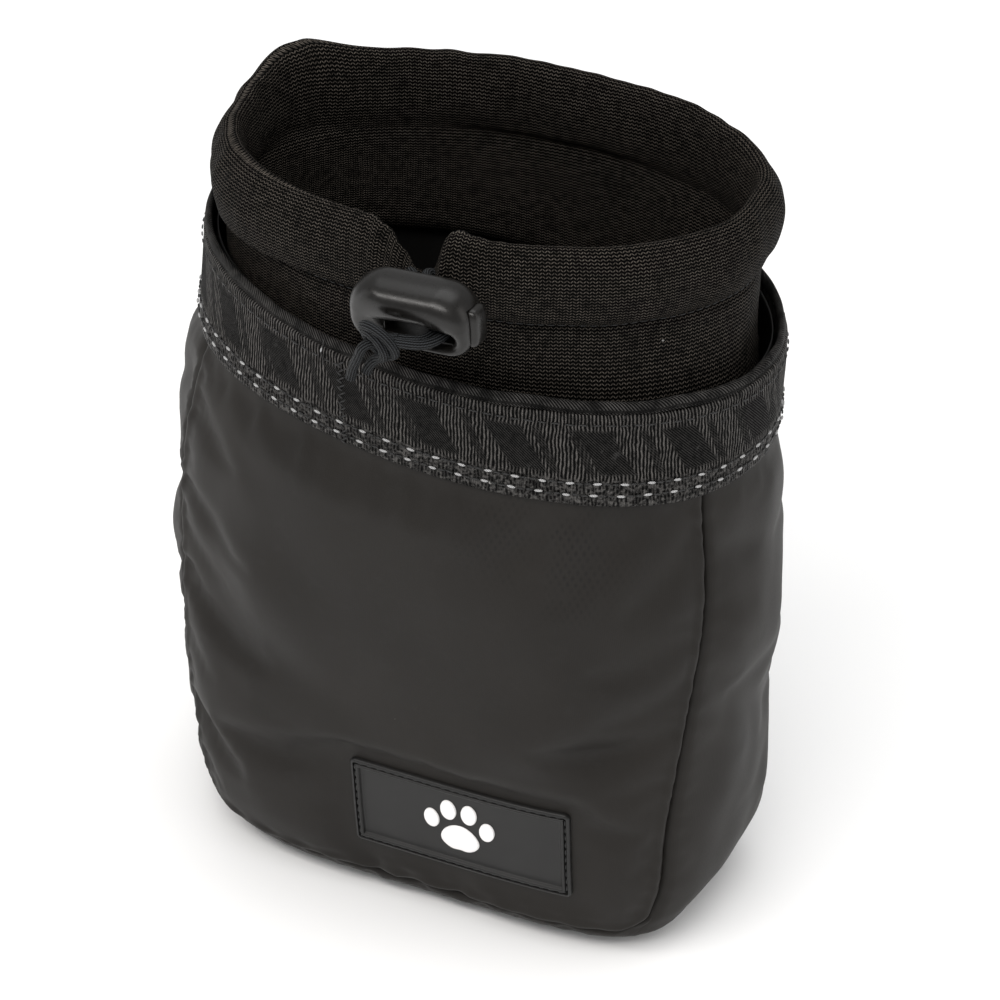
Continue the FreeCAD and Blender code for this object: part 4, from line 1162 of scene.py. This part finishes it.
def collar_surface(turns, rows_at):
    """The knitted collar at turns and profile places, with its puffs, sags, notch and creases."""
    row = hermite(np.arange(len(COLLAR)), COLLAR, rows_at)
    row, turns = np.broadcast_arrays(row[:, None, :], turns[None, :, None])
    turns = turns[..., 0]
    z = row[..., 0].copy()
    x, y = oval(row, turns)
    inner_x, inner_y = oval(np.broadcast_to(np.array(CHANNEL_CORD), row.shape), turns)
    hem = smoothstep(184.4, 188.0, z)
    top = smoothstep(186.0, 205.0, z)
    # puffs of the hem, larger at the left where it hangs over the sleeve
    left = smoothstep(-10.0, -60.0, x) * smoothstep(30.0, -10.0, y)
    right = smoothstep(20.0, 66.0, x)
    pillow = noise(np.stack([inner_x, inner_y, z * 0.35], -1), 52.0, 41)
    small = noise(np.stack([inner_x, inner_y, z], -1), 15.0, 42)
    outer_side = (rows_at[:, None] < 15.0).astype(float) + 0 * x
    grow = hem * (0.9 * pillow + 0.35 * small + 1.5 * left * outer_side)
    slack = 0.55 * noise(np.stack([inner_x, inner_y, z * 0.8], -1), 34.0, 43)
    grow = grow + (1 - hem) * slack * smoothstep(152, 166, z)
    notch = collar_notch(x, y)
    bunch = collar_bunch(x, y)
    pinch = hem * notch
    # gathers run down from the opening
    spread = np.exp(-((x - NOTCH_X) / 17.0) ** 2) * smoothstep(0.0, -20.0, y)
    pleats = np.sin((x - NOTCH_X) * 2 * math.pi / 4.6 + 0.6 * np.sin(z * 0.3))
    grow = grow + spread * smoothstep(172, 190, z) * 0.55 * pleats + hem * bunch * 0.9 * outer_side
    x = inner_x + (x - inner_x) * (1 - 0.55 * pinch)
    y = inner_y + (y - inner_y) * (1 - 0.55 * pinch)
    length = np.hypot(x - 2.0, y) + 1e-9
    x = x + (x - 2.0) / length * grow
    y = y + y / length * grow
    # at the opening the hem dips; at the left it sags; a soft wave runs around the top
    z = z - 11.5 * notch * top - 1.0 * left * hem * outer_side
    z = z + top * (0.9 * noise(np.stack([inner_x, inner_y, 0 * z], -1), 95.0, 44) + 0.25 * small)
    z = z + 0.9 * bunch * top - 0.4 * right * top + 0.6 * top * smoothstep(-10.0, 30.0, y)
    # a crease at the far left corner, where the hem folds over
    corner = np.exp(-(((x + 63.0) / 13.0) ** 2 + ((y - 22.0) / 15.0) ** 2))
    z = z + 4.2 * corner * top
    far_right = smoothstep(40.0, 66.0, x) * smoothstep(0.0, 16.0, y)
    x = x - (2.8 + 2.2 * outer_side) * corner * hem + 0.4 * far_right * hem
    y = y + (1.2 + 1.0 * outer_side) * corner * hem
    x = x + 1.4 * hem * smoothstep(-54.0, -68.0, x) * smoothstep(14.0, -6.0, y)
    crease = np.exp(-(((x + 62.0) * 0.7 + (y - 20.0) * 0.7) / 2.4) ** 2) * (y > 0)
    x = x + hem * crease * 0.9
    leaned = lean_by(x, y, z, sleeve_lean(np.minimum(row[..., 0], 206)))
    return np.stack([x, y, leaned], -1)


def collar_places():
    """Profile places, closer together where the cloth bends."""
    spans = ((0, 6, 22), (6, 9, 14), (9, 13, 20), (13, 17, 18), (17, 20, 12))
    places = [np.linspace(low, high, count)[:-1] for low, high, count in spans]
    return np.concatenate([*places, np.linspace(20, 26, 16)])


def make_collar():
    turns, length = even_ring(np.array(HEM_GIRTH), COLLAR_TURNS)
    places = collar_places()
    points = collar_surface(turns, places)
    profile = hermite(np.arange(len(COLLAR)), COLLAR, places)[:, [0, 2]]
    steps = np.linalg.norm(np.diff(profile, axis=0), axis=1)
    along = np.concatenate([[0], np.cumsum(steps)])
    around = np.arange(COLLAR_TURNS) * length / COLLAR_TURNS
    uv = np.stack(np.broadcast_arrays(around[None], along[:, None]), -1)
    obj = new_object("knit_collar", points, grid_faces(len(places), COLLAR_TURNS, wrap=True), uv)
    thicken(obj, 0.5, -1.0)
    dress(obj, KNIT, "knit", None, "mouth_sleeve", "mouth_hem_rear", "mouth_hem_front")
    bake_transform(obj)
    return obj


def make_hem_stitches():
    """Dark stitches sunk in the line under the hem."""
    count = 150
    turns, _ = even_ring(np.array(HEM_GIRTH), count * 2)
    points = collar_surface(turns, np.array([6.9]))[0]
    parts = []
    for i in range(0, 2 * count, 2):
        a, b = points[i], points[(i + 1) % (2 * count)]
        middle = (a + b) / 2
        if abs(middle[0] - NOTCH_X) < 7 and middle[1] < 0:
            continue
        out = np.array([middle[0] - 2.0, middle[1], 0.0])
        out = out / np.linalg.norm(out)
        parts.append(capsule(middle + out * 0.18, b - a, out, 1.9, 0.42, 0.38))
    obj = new_object("hem_stitches", *joined(parts))
    dress(obj, BLACK_THREAD, "black_thread", None, "hem_stitching_front", "hem_stitching_rear")
    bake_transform(obj)


def make_channel_cord():
    """The drawcord inside the hem, from one side of the opening round to the other."""
    row = np.array(CHANNEL_CORD)
    right = turn_at_channel(12.5)
    left = turn_at_channel(3.5)
    turns = np.linspace(right, left + 2 * math.pi, 260)
    x, y = oval(np.broadcast_to(row, turns.shape + (6,)), turns)
    line = np.stack([x, y, np.full(len(x), row[0])], -1)
    obj = new_object("drawcord_in_hem", *tube(line, CORD_RADIUS, 12, braid=0.05))
    dress(obj, CORD, "cord", None, "drawcord_front", "drawcord_rear")
    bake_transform(obj)


def turn_at_channel(x):
    _, a, _, n, cx, _ = CHANNEL_CORD
    wide = (x - cx) / a
    high = (1 - abs(wide) ** n) ** (1 / n)
    return math.atan2(-high, wide)


# ---- cord lock, strands and knot ----
def in_lock(points):
    """Points about the lock's centre, put in their place."""
    points = np.asarray(points, float)
    c, s = math.cos(LOCK_TILT), math.sin(LOCK_TILT)
    x = points[..., 0] * c - points[..., 2] * s
    z = points[..., 0] * s + points[..., 2] * c
    return np.stack([x, points[..., 1], z], -1) + LOCK


def ray_to_outline(turn, outline):
    """Distance from the eye's centre to a closed outline along a turn."""
    x, z = outline[:, 0] - EYE[0], outline[:, 1] - EYE[1]
    angle = np.unwrap(np.arctan2(z, x))
    order = np.argsort(angle % (2 * math.pi))
    angles = (angle % (2 * math.pi))[order]
    reach = np.hypot(x, z)[order]
    return np.interp(turn % (2 * math.pi), angles, reach, period=2 * math.pi)


def rounded_outline(half_x, half_z, radii, count=60):
    """Outline with corner radii at lower right, upper right, upper left and lower left."""
    corners = [(half_x, -half_z, radii[0], -90), (half_x, half_z, radii[1], 0),
               (-half_x, half_z, radii[2], 90), (-half_x, -half_z, radii[3], 180)]
    points = []
    for x, z, radius, start in corners:
        cx, cz = x - math.copysign(radius, x), z - math.copysign(radius, z)
        for k in range(count + 1):
            turn = math.radians(start + 90 * k / count)
            points.append((cx + radius * math.cos(turn), cz + radius * math.sin(turn)))
    fine = []
    for a, b in zip(points, points[1:] + points[:1]):
        gap = max(1, int(math.dist(a, b) / 0.1))
        fine += [(a[0] + (b[0] - a[0]) * k / gap, a[1] + (b[1] - a[1]) * k / gap) for k in range(gap)]
    return np.array(fine)


def make_lock_body():
    """A thick moulded link around the eye, fuller at the top, with the slider's bore cut at its right."""
    outer = rounded_outline(LOCK_HALF[0], LOCK_HALF[2], (4.2, 7.8, 8.0, 6.0))
    inner = rounded_outline(EYE[2], EYE[3], [EYE[3]] * 4) + np.array([[EYE[0], EYE[1]]])
    count, around = 220, 44
    turns = 2 * math.pi * np.arange(count) / count
    far, near = ray_to_outline(turns, outer), ray_to_outline(turns, inner)
    section = 2 * math.pi * np.arange(around) / around
    direction = np.stack([np.cos(turns), np.sin(turns)], -1)
    top = smoothstep(-0.2, 0.8, direction[:, 1])
    power = 3.0 - 0.75 * top
    middle, half = (far + near) / 2, (far - near) / 2
    c, s = np.cos(section)[None], np.sin(section)[None]
    across = np.sign(c) * np.abs(c) ** (2 / power[:, None])
    deep = np.sign(s) * np.abs(s) ** (2 / power[:, None])
    # the front swells over the eye at the top
    depth = np.where(deep < 0, LOCK_HALF[1] * (0.9 + 0.5 * top[:, None]), LOCK_HALF[1])
    slope = 1 - 0.14 * smoothstep(0.2, -1.0, across) * (1 - top[:, None])
    reach = middle[:, None] + half[:, None] * across
    points = np.stack([EYE[0] + reach * direction[:, :1], deep * depth * slope,
                       EYE[1] + reach * direction[:, 1:]], -1)
    obj = new_object("cord_lock_link", in_lock(points).reshape(-1, 3), torus_faces(count, around))
    weld(obj)
    low, high = PLUNGER_LOW - BORE_CLEARANCE, PLUNGER_HIGH + BORE_CLEARANCE
    half_depth = PLUNGER_DEPTH / 2 + BORE_CLEARANCE
    corners, sides, _ = box((BORE_END, -half_depth, low), (BORE_MOUTH, half_depth, high))
    bore = new_object("bore", corners, sides, smooth=False)
    weld(bore)
    cut = obj.modifiers.new("bore", "BOOLEAN")
    cut.operation = "DIFFERENCE"
    cut.solver = "EXACT"
    cut.object = bore
    apply_modifiers(obj)
    bpy.data.objects.remove(bore)
    mark_sharp(obj, 40)
    return dress(obj, LOCK_PLASTIC, "lock_plastic", "cord_lock", "cord_lock_body")


def make_plunger():
    """The sprung slider: its end stands out of the bore as a rounded button; its window takes the cords."""
    half_depth, low, high = PLUNGER_DEPTH / 2, PLUNGER_LOW, PLUNGER_HIGH
    middle, half = (low + high) / 2, (high - low) / 2
    turns = 2 * math.pi * np.arange(40) / 40
    c, s = np.cos(turns), np.sin(turns)
    reach = (np.abs(c) ** 5 + np.abs(s) ** 5) ** (-1 / 5)
    rows = []
    profile = ((14.4, 0.0), (14.4, 0.97), (14.6, 0.99), (15.6, 1.0), (16.2, 0.97),
               (16.7, 0.88), (17.0, 0.72), (17.15, 0.4), (17.2, 0.0))
    for x, share in profile:
        across, up = c * reach * half_depth * share, middle + s * reach * half * share
        rows.append(np.stack([np.full(40, x), across, up], -1))
    faces = grid_faces(len(rows), 40, wrap=True)
    button = (in_lock(np.concatenate(rows)), faces, np.zeros((40 * len(rows), 2)))
    rails = []
    for z0, z1 in ((low, low + 0.6), (high - 0.7, high)):
        reach_x = np.linspace(PLUNGER_HEEL, PLUNGER_NECK, 12)
        line = np.stack([reach_x, np.zeros(12), np.full(12, (z0 + z1) / 2)], -1)
        rise = (z1 - z0) / 2
        ring = [(-half_depth, -rise), (half_depth, -rise), (half_depth, rise), (-half_depth, rise)]
        points = np.stack([line + np.array([0.0, y, z]) for y, z in ring], 1)
        faces = grid_faces(12, 4, wrap=True) + [(0, 1, 2, 3), (47, 46, 45, 44)]
        rails.append((in_lock(points.reshape(-1, 3)), faces, np.zeros((48, 2))))
    cross = box((PLUNGER_HEEL, -half_depth, low), (PLUNGER_HEEL + 0.9, half_depth, high))
    obj = new_object("cord_lock_slider", *joined([button, *rails, cross]))
    weld(obj)
    mark_sharp(obj, 40)
    return dress(obj, LOCK_PLASTIC, "lock_plastic", "lock_button", "cord_lock_plunger")


def make_spring():
    """The coil behind the slider, which shortens as the button goes in; here it is made at rest."""
    middle = (PLUNGER_LOW + PLUNGER_HIGH) / 2
    share = np.linspace(0, 1, 40 * SPRING_COILS)
    turn = 2 * math.pi * SPRING_COILS * share
    reach = PLUNGER_HEEL - BORE_END - SPRING_WIRE - SPRING_PLAY
    x = BORE_END + (SPRING_WIRE + SPRING_PLAY) / 2 + reach * share
    line = np.stack([x, SPRING_RADIUS * np.cos(turn), middle + SPRING_RADIUS * np.sin(turn)], -1)
    obj = new_object("cord_lock_coil", *joined([tube(in_lock(line), SPRING_WIRE / 2, 14)]))
    dress(obj, SPRING_STEEL, "spring_steel", "cord_lock", "cord_lock_spring")
    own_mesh(obj)


def torus_faces(rows, columns):
    return [(i * columns + j, i * columns + (j + 1) % columns, (i + 1) % rows * columns + (j + 1) % columns,
             (i + 1) % rows * columns + j) for i in range(rows) for j in range(columns)]


def mark_sharp(obj, degrees):
    """Keeps creases crisp and everything else smooth."""
    work = bmesh.new()
    work.from_mesh(obj.data)
    limit = math.radians(degrees)
    for face in work.faces:
        face.smooth = True
    for edge in work.edges:
        edge.smooth = not (len(edge.link_faces) == 2 and edge.calc_face_angle(0.0) > limit)
    work.to_mesh(obj.data)
    work.free()


STRAND_UNDER = [
    (4.0, -47.6, 195.0), (6.6, -49.3, 194.0), (12.4, -53.2, 191.2), (18.4, -56.4, 191.0),
    (19.8, -60.0, 191.4), (19.8, -66.6, 191.6), (18.8, -70.9, 191.6), (16.0, -72.6, 191.7),
    (13.4, -73.6, 191.9), (11.0, -74.2, 191.9),
]
STRAND_OVER = [
    (12.2, -47.6, 195.0), (9.9, -49.5, 196.4), (11.6, -53.6, 196.6), (18.0, -55.8, 193.6),
    (21.8, -58.6, 191.8), (22.4, -64.0, 191.7), (22.2, -69.0, 191.7), (20.2, -73.4, 191.9),
    (16.6, -75.2, 192.2), (14.0, -75.8, 192.3), (11.0, -75.4, 192.0),
]
# the knot was tied a little nearer to the lock than its drawn middle
KNOT_SHIFT = np.array([2.0, 0.0, 1.3])
# in front of the eye the strands go over from the lock to the knot
KNOT_FIRST = [
    (12.5, -73.9, 191.1), (9.6, -74.2, 190.2), (6.3, -73.8, 190.2), (4.3, -74.6, 191.8),
    (5.0, -76.6, 194.0), (7.9, -77.9, 194.6), (10.9, -77.7, 192.9), (12.4, -76.6, 190.0),
    (11.8, -74.8, 187.2), (9.6, -73.6, 185.9), (7.4, -74.2, 187.0), (6.4, -75.9, 189.2),
    (5.0, -77.0, 188.6), (3.4, -76.6, 185.4), (1.6, -75.6, 181.8), (0.4, -74.8, 178.2),
]
KNOT_SECOND = [
    (12.5, -76.0, 191.0), (10.0, -75.4, 189.0), (7.0, -74.6, 188.6), (4.9, -74.4, 189.9),
    (4.9, -75.6, 191.9), (7.2, -77.2, 192.4), (9.4, -77.6, 190.9), (10.2, -76.9, 188.2),
    (9.2, -75.4, 186.0), (7.4, -74.4, 184.9), (5.8, -74.0, 183.4), (4.5, -73.8, 181.4),
    (4.0, -73.6, 180.0),
]


def make_strands():
    parts = []
    for points in (STRAND_UNDER, STRAND_OVER):
        line, length = spline(points, 190)
        parts.append(tube(line, CORD_RADIUS, 20, braid=0.05))
        print("strand", round(length, 1))
    obj = new_object("drawcord_to_lock", *joined(parts))
    dress(obj, CORD, "cord", None, "drawcord_strands")
    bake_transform(obj)


def make_knot():
    parts = []
    for points in (KNOT_FIRST, KNOT_SECOND):
        line, _ = spline(np.asarray(points) + KNOT_SHIFT, 260)
        fray = np.ones(len(line)) * CORD_RADIUS
        fray[-5:] *= np.array([1.02, 1.06, 1.1, 1.12, 1.05])
        parts.append(tube(line, fray, 20, braid=0.05))
    obj = new_object("drawcord_overhand_knot", *joined(parts))
    dress(obj, CORD, "cord", "cord_end", "drawcord_knot", "drawcord_tails")


# ---- the patch ----
def front_skin(x, z, height):
    """A place over the front panel by its x, its real height and how far it stands off the cloth."""
    x, z, height = np.broadcast_arrays(*(np.asarray(v, float) for v in (x, z, height)))
    level = z.copy()
    for _ in range(6):
        row = bag_row(level)
        a, b, n, cx, cy = (row[..., k] for k in range(1, 6))
        wide = np.clip(np.abs(x - cx) / a, 0, 0.9999)
        y = cy - b * (1 - wide ** n) ** (1 / n)
        level = z - bag_lean(level) * (SIDE_LEAN * x + FRONT_LEAN * y)
    c, s = (x - cx) / a, (y - cy) / b
    turn = np.arctan2(s, c)
    return bag_skin(turn, level, 0.0) + outward(turn, level) * height[..., None]


def patch_height(inside):
    """The patch's surface above the cloth, by the distance from its edge."""
    table = [(-0.02, 0.0), (0.0, 1.0), (0.12, 1.7), (0.35, 2.05), (0.7, 2.15), (0.95, 2.2), (1.05, 1.6),
             (1.3, 1.2), (1.55, 1.6), (1.65, 2.15), (1.9, 2.3), (2.3, 2.25), (2.5, 1.95), (2.68, 1.4),
             (2.9, 1.25), (40.0, 1.25)]
    return np.interp(inside, [r[0] for r in table], [r[1] for r in table])


def dense_axis(half):
    near = [0.0, 0.04, 0.12, 0.22, 0.35, 0.55, 0.75, 0.92, 1.0, 1.08, 1.18, 1.3, 1.42, 1.52, 1.6, 1.7, 1.9,
            2.15, 2.35, 2.5, 2.6, 2.7, 2.85, 3.2]
    inner = np.arange(4.2, half - 0.4, 1.2)
    positive = half - np.array(near + list(inner))
    return np.concatenate([-positive, [0.0], positive[::-1]])


def make_patch():
    xs, zs = dense_axis(PATCH_HALF_X), dense_axis(PATCH_HALF_Z)
    x, z = np.meshgrid(xs, zs)
    # pull the corners of the grid onto the rounded outline
    inner_x, inner_z = PATCH_HALF_X - PATCH_CORNER, PATCH_HALF_Z - PATCH_CORNER
    over_x, over_z = np.maximum(np.abs(x) - inner_x, 0), np.maximum(np.abs(z) - inner_z, 0)
    both = np.maximum(over_x, over_z)
    length = np.hypot(over_x, over_z) + 1e-9
    round_x = np.where((over_x > 0) & (over_z > 0), inner_x + over_x / length * both, np.abs(x))
    round_z = np.where((over_x > 0) & (over_z > 0), inner_z + over_z / length * both, np.abs(z))
    inside = np.minimum(PATCH_HALF_X - np.abs(x), PATCH_HALF_Z - np.abs(z))
    height = patch_height(inside)
    x, z = np.sign(x) * round_x, np.sign(z) * round_z
    points = front_skin(PATCH_X + x, PATCH_Z + z, height)
    under = front_skin(PATCH_X + x, PATCH_Z + z, 0 * height - 0.1)
    rows, columns = x.shape
    count = rows * columns
    faces = grid_faces(rows, columns)
    faces += [tuple(v + count for v in face[::-1]) for face in grid_faces(rows, columns)]
    border = list(range(columns))
    border += [i * columns + columns - 1 for i in range(1, rows)]
    border += [(rows - 1) * columns + j for j in range(columns - 2, -1, -1)]
    border += [i * columns for i in range(rows - 2, 0, -1)]
    for a, b in zip(border, border[1:] + border[:1]):
        faces.append((b, a, a + count, b + count))
    plate = np.concatenate([points.reshape(-1, 3), under.reshape(-1, 3)])
    obj = new_object("rubber_patch_plate", plate, faces)
    weld(obj, 0.001)
    mark_sharp(obj, 60)
    dress(obj, PATCH_RUBBER, "patch_rubber", "pouch", "rubber_patch")
    threads = []
    half_x, half_z = PATCH_HALF_X - PATCH_GROOVE, PATCH_HALF_Z - PATCH_GROOVE
    for count, half_run, side, upright in ((22, half_x, half_z, False), (10, half_z, half_x, True)):
        for index in range(count):
            place = (index + 0.5) / count * 2 * (half_run - 0.4) - (half_run - 0.4)
            for edge in (-side, side):
                at = (edge, place) if upright else (place, edge)
                step = (0, 0.4) if upright else (0.4, 0)
                centre = front_skin(PATCH_X + at[0], PATCH_Z + at[1], 1.62)
                ahead = front_skin(PATCH_X + at[0] + step[0], PATCH_Z + at[1] + step[1], 1.62)
                out = front_skin(PATCH_X + at[0], PATCH_Z + at[1], 2.62) - centre
                threads.append(capsule(centre, ahead - centre, out, 1.9, 0.52, 0.7))
    obj = new_object("patch_stitches", *joined(threads))
    dress(obj, PATCH_THREAD, "black_thread", "pouch", "patch_stitching")


def make_emblem():
    """A plain paw print of raised pale rubber: four toes and a pad with soft edges."""
    toes = [(-7.8, 1.1, 2.1, 2.9, 0.12), (-2.9, 5.2, 2.2, 3.1, 0.05),
            (2.9, 5.2, 2.2, 3.1, -0.05), (7.8, 1.1, 2.1, 2.9, -0.12)]
    parts = []
    around = 48
    rings = [(0.0, 0.62), (0.35, 0.62), (0.7, 0.6), (0.86, 0.57),
             (0.94, 0.48), (0.985, 0.32), (1.0, 0.05), (1.0, -0.12)]
    for x, z, half_x, half_z, tilt in toes + [(0.0, -3.6, 5.4, 4.2, 0.0)]:
        pad = half_x > 4
        turns = 2 * math.pi * np.arange(around) / around
        px, pz = half_x * np.cos(turns), half_z * np.sin(turns)
        if pad:
            dent = 0.55 * np.exp(-(px / 1.6) ** 2) * (pz < 0)
            pz = pz * (1 - 0.12 * np.cos(turns) ** 2) - 0.5 * np.cos(turns) ** 2 + dent
        rx, rz = px * math.cos(tilt) - pz * math.sin(tilt), px * math.sin(tilt) + pz * math.cos(tilt)
        points = [front_skin(PATCH_X + x + rx * share, PATCH_Z + z + rz * share, 1.4 + rise)
                  for share, rise in rings]
        parts.append((np.concatenate(points), grid_faces(len(rings), around, wrap=True, flip=True),
                      np.zeros((around * len(rings), 2))))
    obj = new_object("paw_emblem", *joined(parts))
    weld(obj, 0.001)
    return dress(obj, EMBLEM_RUBBER, "emblem_rubber", "pouch", "patch_emblem")


# ---- the belt side ----
def back_y(height):
    row = bag_row(np.array(float(height)))
    return float(row[2] + row[5])


def strap_y(height, share):
    return back_y(height) + STRAP_SEWN + share * (STRAP_OFFSET - STRAP_SEWN)


def clip_frame():
    low, high = STRAP_PROFILE[3][0], STRAP_PROFILE[2][0]
    slope = math.atan2(strap_y(high, 1) - strap_y(low, 1), high - low)
    y = strap_y(low, 1) + (CLIP_HEIGHT - low) * math.tan(slope) + STRAP
    return np.array([0.0, y, CLIP_HEIGHT]), slope


def on_strap(points):
    """Points about the strap's outer face, with +Y outwards, put in their place."""
    centre, slope = clip_frame()
    points = np.asarray(points, float)
    y = points[..., 1] * math.cos(slope) + points[..., 2] * math.sin(slope)
    z = -points[..., 1] * math.sin(slope) + points[..., 2] * math.cos(slope)
    return np.stack([points[..., 0], y, z], -1) + centre


def make_strap():
    """Webbing strap sewn at both ends, standing off the bag between them."""
    middle = [(strap_y(z, share) + STRAP / 2, z) for z, share in STRAP_PROFILE]
    line, length = spline([(0.0, y, z) for y, z in middle], 150)
    out = crosswise(line)
    out = out * np.sign(out[:, 1:2])
    half, thick = STRAP_WIDTH / 2, STRAP / 2
    section = [(-half, 0.0), (-half + 0.15, 0.8), (-half + 0.8, 1.0), (-half / 2, 1.0), (0.0, 1.0),
               (half / 2, 1.0), (half - 0.8, 1.0), (half - 0.15, 0.8), (half, 0.0), (half - 0.3, -1.0),
               (0.0, -1.0), (-half + 0.3, -1.0)]
    shares = [(x / half, up * thick) for x, up in section]
    points, faces = strip(line, out, shares, np.full(len(line), half))
    along = np.linspace(0, length, len(line))
    uv = np.stack([np.stack([along, np.full(len(line), x + half)], -1) for x, _ in section], 1)
    obj = new_object("belt_loop_strap", points, faces, uv)
    weld(obj, 0.001)
    dress(obj, WEBBING, "webbing", "pouch", "belt_loop")
    parts = []
    sewn = ((STRAP_PROFILE[0][0], STRAP_PROFILE[1][0]), (STRAP_PROFILE[-2][0], STRAP_PROFILE[-1][0]))
    for top, foot in sewn:
        low, high = foot + 1.6, top - 1.6
        slope = (back_y(high) - back_y(low)) / (high - low)
        for index in range(7):
            x = (index + 0.5) / 7 * (STRAP_WIDTH - 4) - (STRAP_WIDTH - 4) / 2
            for height in (low, (low + high) / 2, high):
                y = strap_y(low, 0) + slope * (height - low) + STRAP + 0.2
                parts.append(capsule((x, y, height), (1, 0, 0), (0, 1, 0), 2.5, 0.55, 0.55))
        for x in (-STRAP_WIDTH / 2 + 2, STRAP_WIDTH / 2 - 2):
            for index in range(3):
                height = low + (index + 0.5) / 3 * (high - low)
                y = strap_y(low, 0) + slope * (height - low) + STRAP + 0.2
                parts.append(capsule((x, y, height), (0, slope, 1), (0, 1, 0), 2.0, 0.55, 0.55))
    obj = new_object("belt_loop_stitches", *joined(parts))
    dress(obj, BLACK_THREAD, "black_thread", "pouch", "belt_loop_stitching")


def make_clip():
    """One bent strip of steel: riveted base, round bend at the top and springing tongue."""
    far = 0.1 + CLIP / 2
    axis_y = 0.1 + CLIP + CLIP_BEND
    radius = CLIP_BEND + CLIP / 2
    outline = [(far, CLIP_FOOT + k * (CLIP_TOP - CLIP_FOOT) / 24) for k in range(25)]
    for k in range(1, 21):
        turn = math.pi * k / 20
        outline.append((axis_y - radius * math.cos(turn), CLIP_TOP + radius * math.sin(turn)))
    near = axis_y + radius
    foot = [(near, CLIP_TOP - 1.0), (near - 0.5, 8.0), (near - 1.1, -6.0),
            (near - 1.6, -19.0), (near - 0.9, -24.0), (near + 1.6, CLIP_TIP)]
    curve, _ = spline([(0.0, y, z) for y, z in foot], 46)
    outline += [(p[1], p[2]) for p in curve]
    line = np.array([(0.0, y, z) for y, z in outline])
    count = len(line)
    width = np.full(count, CLIP_WIDTH / 2)
    for k in range(7):
        round_off = CLIP_WIDTH / 2 - 3.2 * (1 - math.sqrt(1 - (1 - (k + 0.5) / 7) ** 2))
        width[k] = min(width[k], round_off)
        width[count - 1 - k] = min(width[count - 1 - k], round_off)
    thick, edge = CLIP / 2, 0.22
    section = [(-1, -thick + edge), (-1, thick - edge), (-0.97, thick), (0, thick), (0.97, thick),
               (1, thick - edge), (1, -thick + edge), (0.97, -thick), (0, -thick), (-0.97, -thick)]
    points, faces = strip(line, crosswise(line), section, width)
    obj = new_object("steel_belt_clip", on_strap(points), faces)
    weld(obj, 0.001)
    mark_sharp(obj, 50)
    dress(obj, CLIP_STEEL, "clip_steel", None, "clip_base", "clip_tongue")
    start = on_strap(np.array([0.0, axis_y - 1.5, CLIP_TOP])) * MM
    end = on_strap(np.array([0.0, axis_y + 3.2, CLIP_TOP])) * MM
    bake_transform(obj)


make_face_panel("front_panel_cloth", -1, "front_panel")
make_face_panel("back_panel_cloth", 1, "back_panel")
make_gusset()
make_lining()
make_webbing_band()
make_lip()
make_rim_stitches()
make_bar_tack()
make_collar()
make_hem_stitches()
make_channel_cord()
make_lock_body()
make_plunger()
make_spring()
make_strands()
make_knot()
make_patch()
make_emblem()
make_strap()
make_clip()

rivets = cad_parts["clip_rivets"].data
rivets.materials.clear()
rivets.materials.append(RIVET_STEEL)


# ---- studio ----
def make_floor():
    s = Shader("pale_floor")
    s.set(color=s.mix(s.noise(3.0, 2.0), gray(0.86), gray(0.89)), rough=0.7, specular=0.2)
    reach, low = 6000.0, -0.05
    corners = [(-reach, -reach, low), (reach, -reach, low), (reach, reach, low), (-reach, reach, low)]
    floor = new_object("floor", corners, [(0, 1, 2, 3)], smooth=False)
    floor.data.materials.append(s.material)


def make_light(name, place, target, size, power, color=(1, 1, 1)):
    data = bpy.data.lights.new(name, "AREA")
    data.shape = "RECTANGLE"
    data.size, data.size_y = size
    data.energy = power
    data.color = color
    light = bpy.data.objects.new(name, data)
    light.location = place
    direction = Vector(target) - Vector(place)
    light.rotation_euler = direction.to_track_quat("-Z", "Y").to_euler()
    bpy.context.scene.collection.objects.link(light)


def make_studio():
    world = bpy.data.worlds.new("studio")
    bpy.context.scene.world = world
    world.use_nodes = True
    background = world.node_tree.nodes["Background"]
    background.inputs[0].default_value = (1, 1, 1, 1)
    background.inputs[1].default_value = 0.42
    middle = (0.0, 0.0, 0.1)
    make_light("key", (-0.1, -0.75, 1.0), middle, (1.3, 0.25), 9.0, (1.0, 0.97, 0.94))
    make_light("top", (0.0, 0.3, 1.3), middle, (1.2, 0.8), 5.0)
    make_light("left", (-0.8, -0.35, 0.3), middle, (0.3, 0.5), 0.4)
    make_light("right", (0.9, 0.1, 0.45), middle, (0.3, 0.6), 0.8, (1.0, 0.96, 0.92))
    overhead = bpy.data.lights.new("overhead", "SUN")
    overhead.energy = 1.7
    overhead.angle = math.radians(90)
    sky = bpy.data.objects.new("overhead", overhead)
    sky.visible_glossy = False
    sky.rotation_euler = (math.radians(24), math.radians(22), 0)
    bpy.context.scene.collection.objects.link(sky)
    bpy.context.scene.view_settings.view_transform = "Standard"


def make_camera():
    data = bpy.data.cameras.new("camera")
    data.sensor_width = 36.0
    data.lens = 145.5
    data.clip_end = 20
    camera = bpy.data.objects.new("camera", data)
    right = Vector((0.89892, 0.43806, 0.00708))
    up = Vector((-0.23497, 0.46840, 0.85170))
    back = Vector((0.36978, -0.76727, 0.52399))
    rotation = Matrix((right, up, back)).transposed()
    camera.matrix_world = Matrix.Translation(Vector((385.3, -789.3, 644.8)) * MM) @ rotation.to_4x4()
    bpy.context.scene.collection.objects.link(camera)
    bpy.context.scene.camera = camera


make_floor()
make_studio()
make_camera()
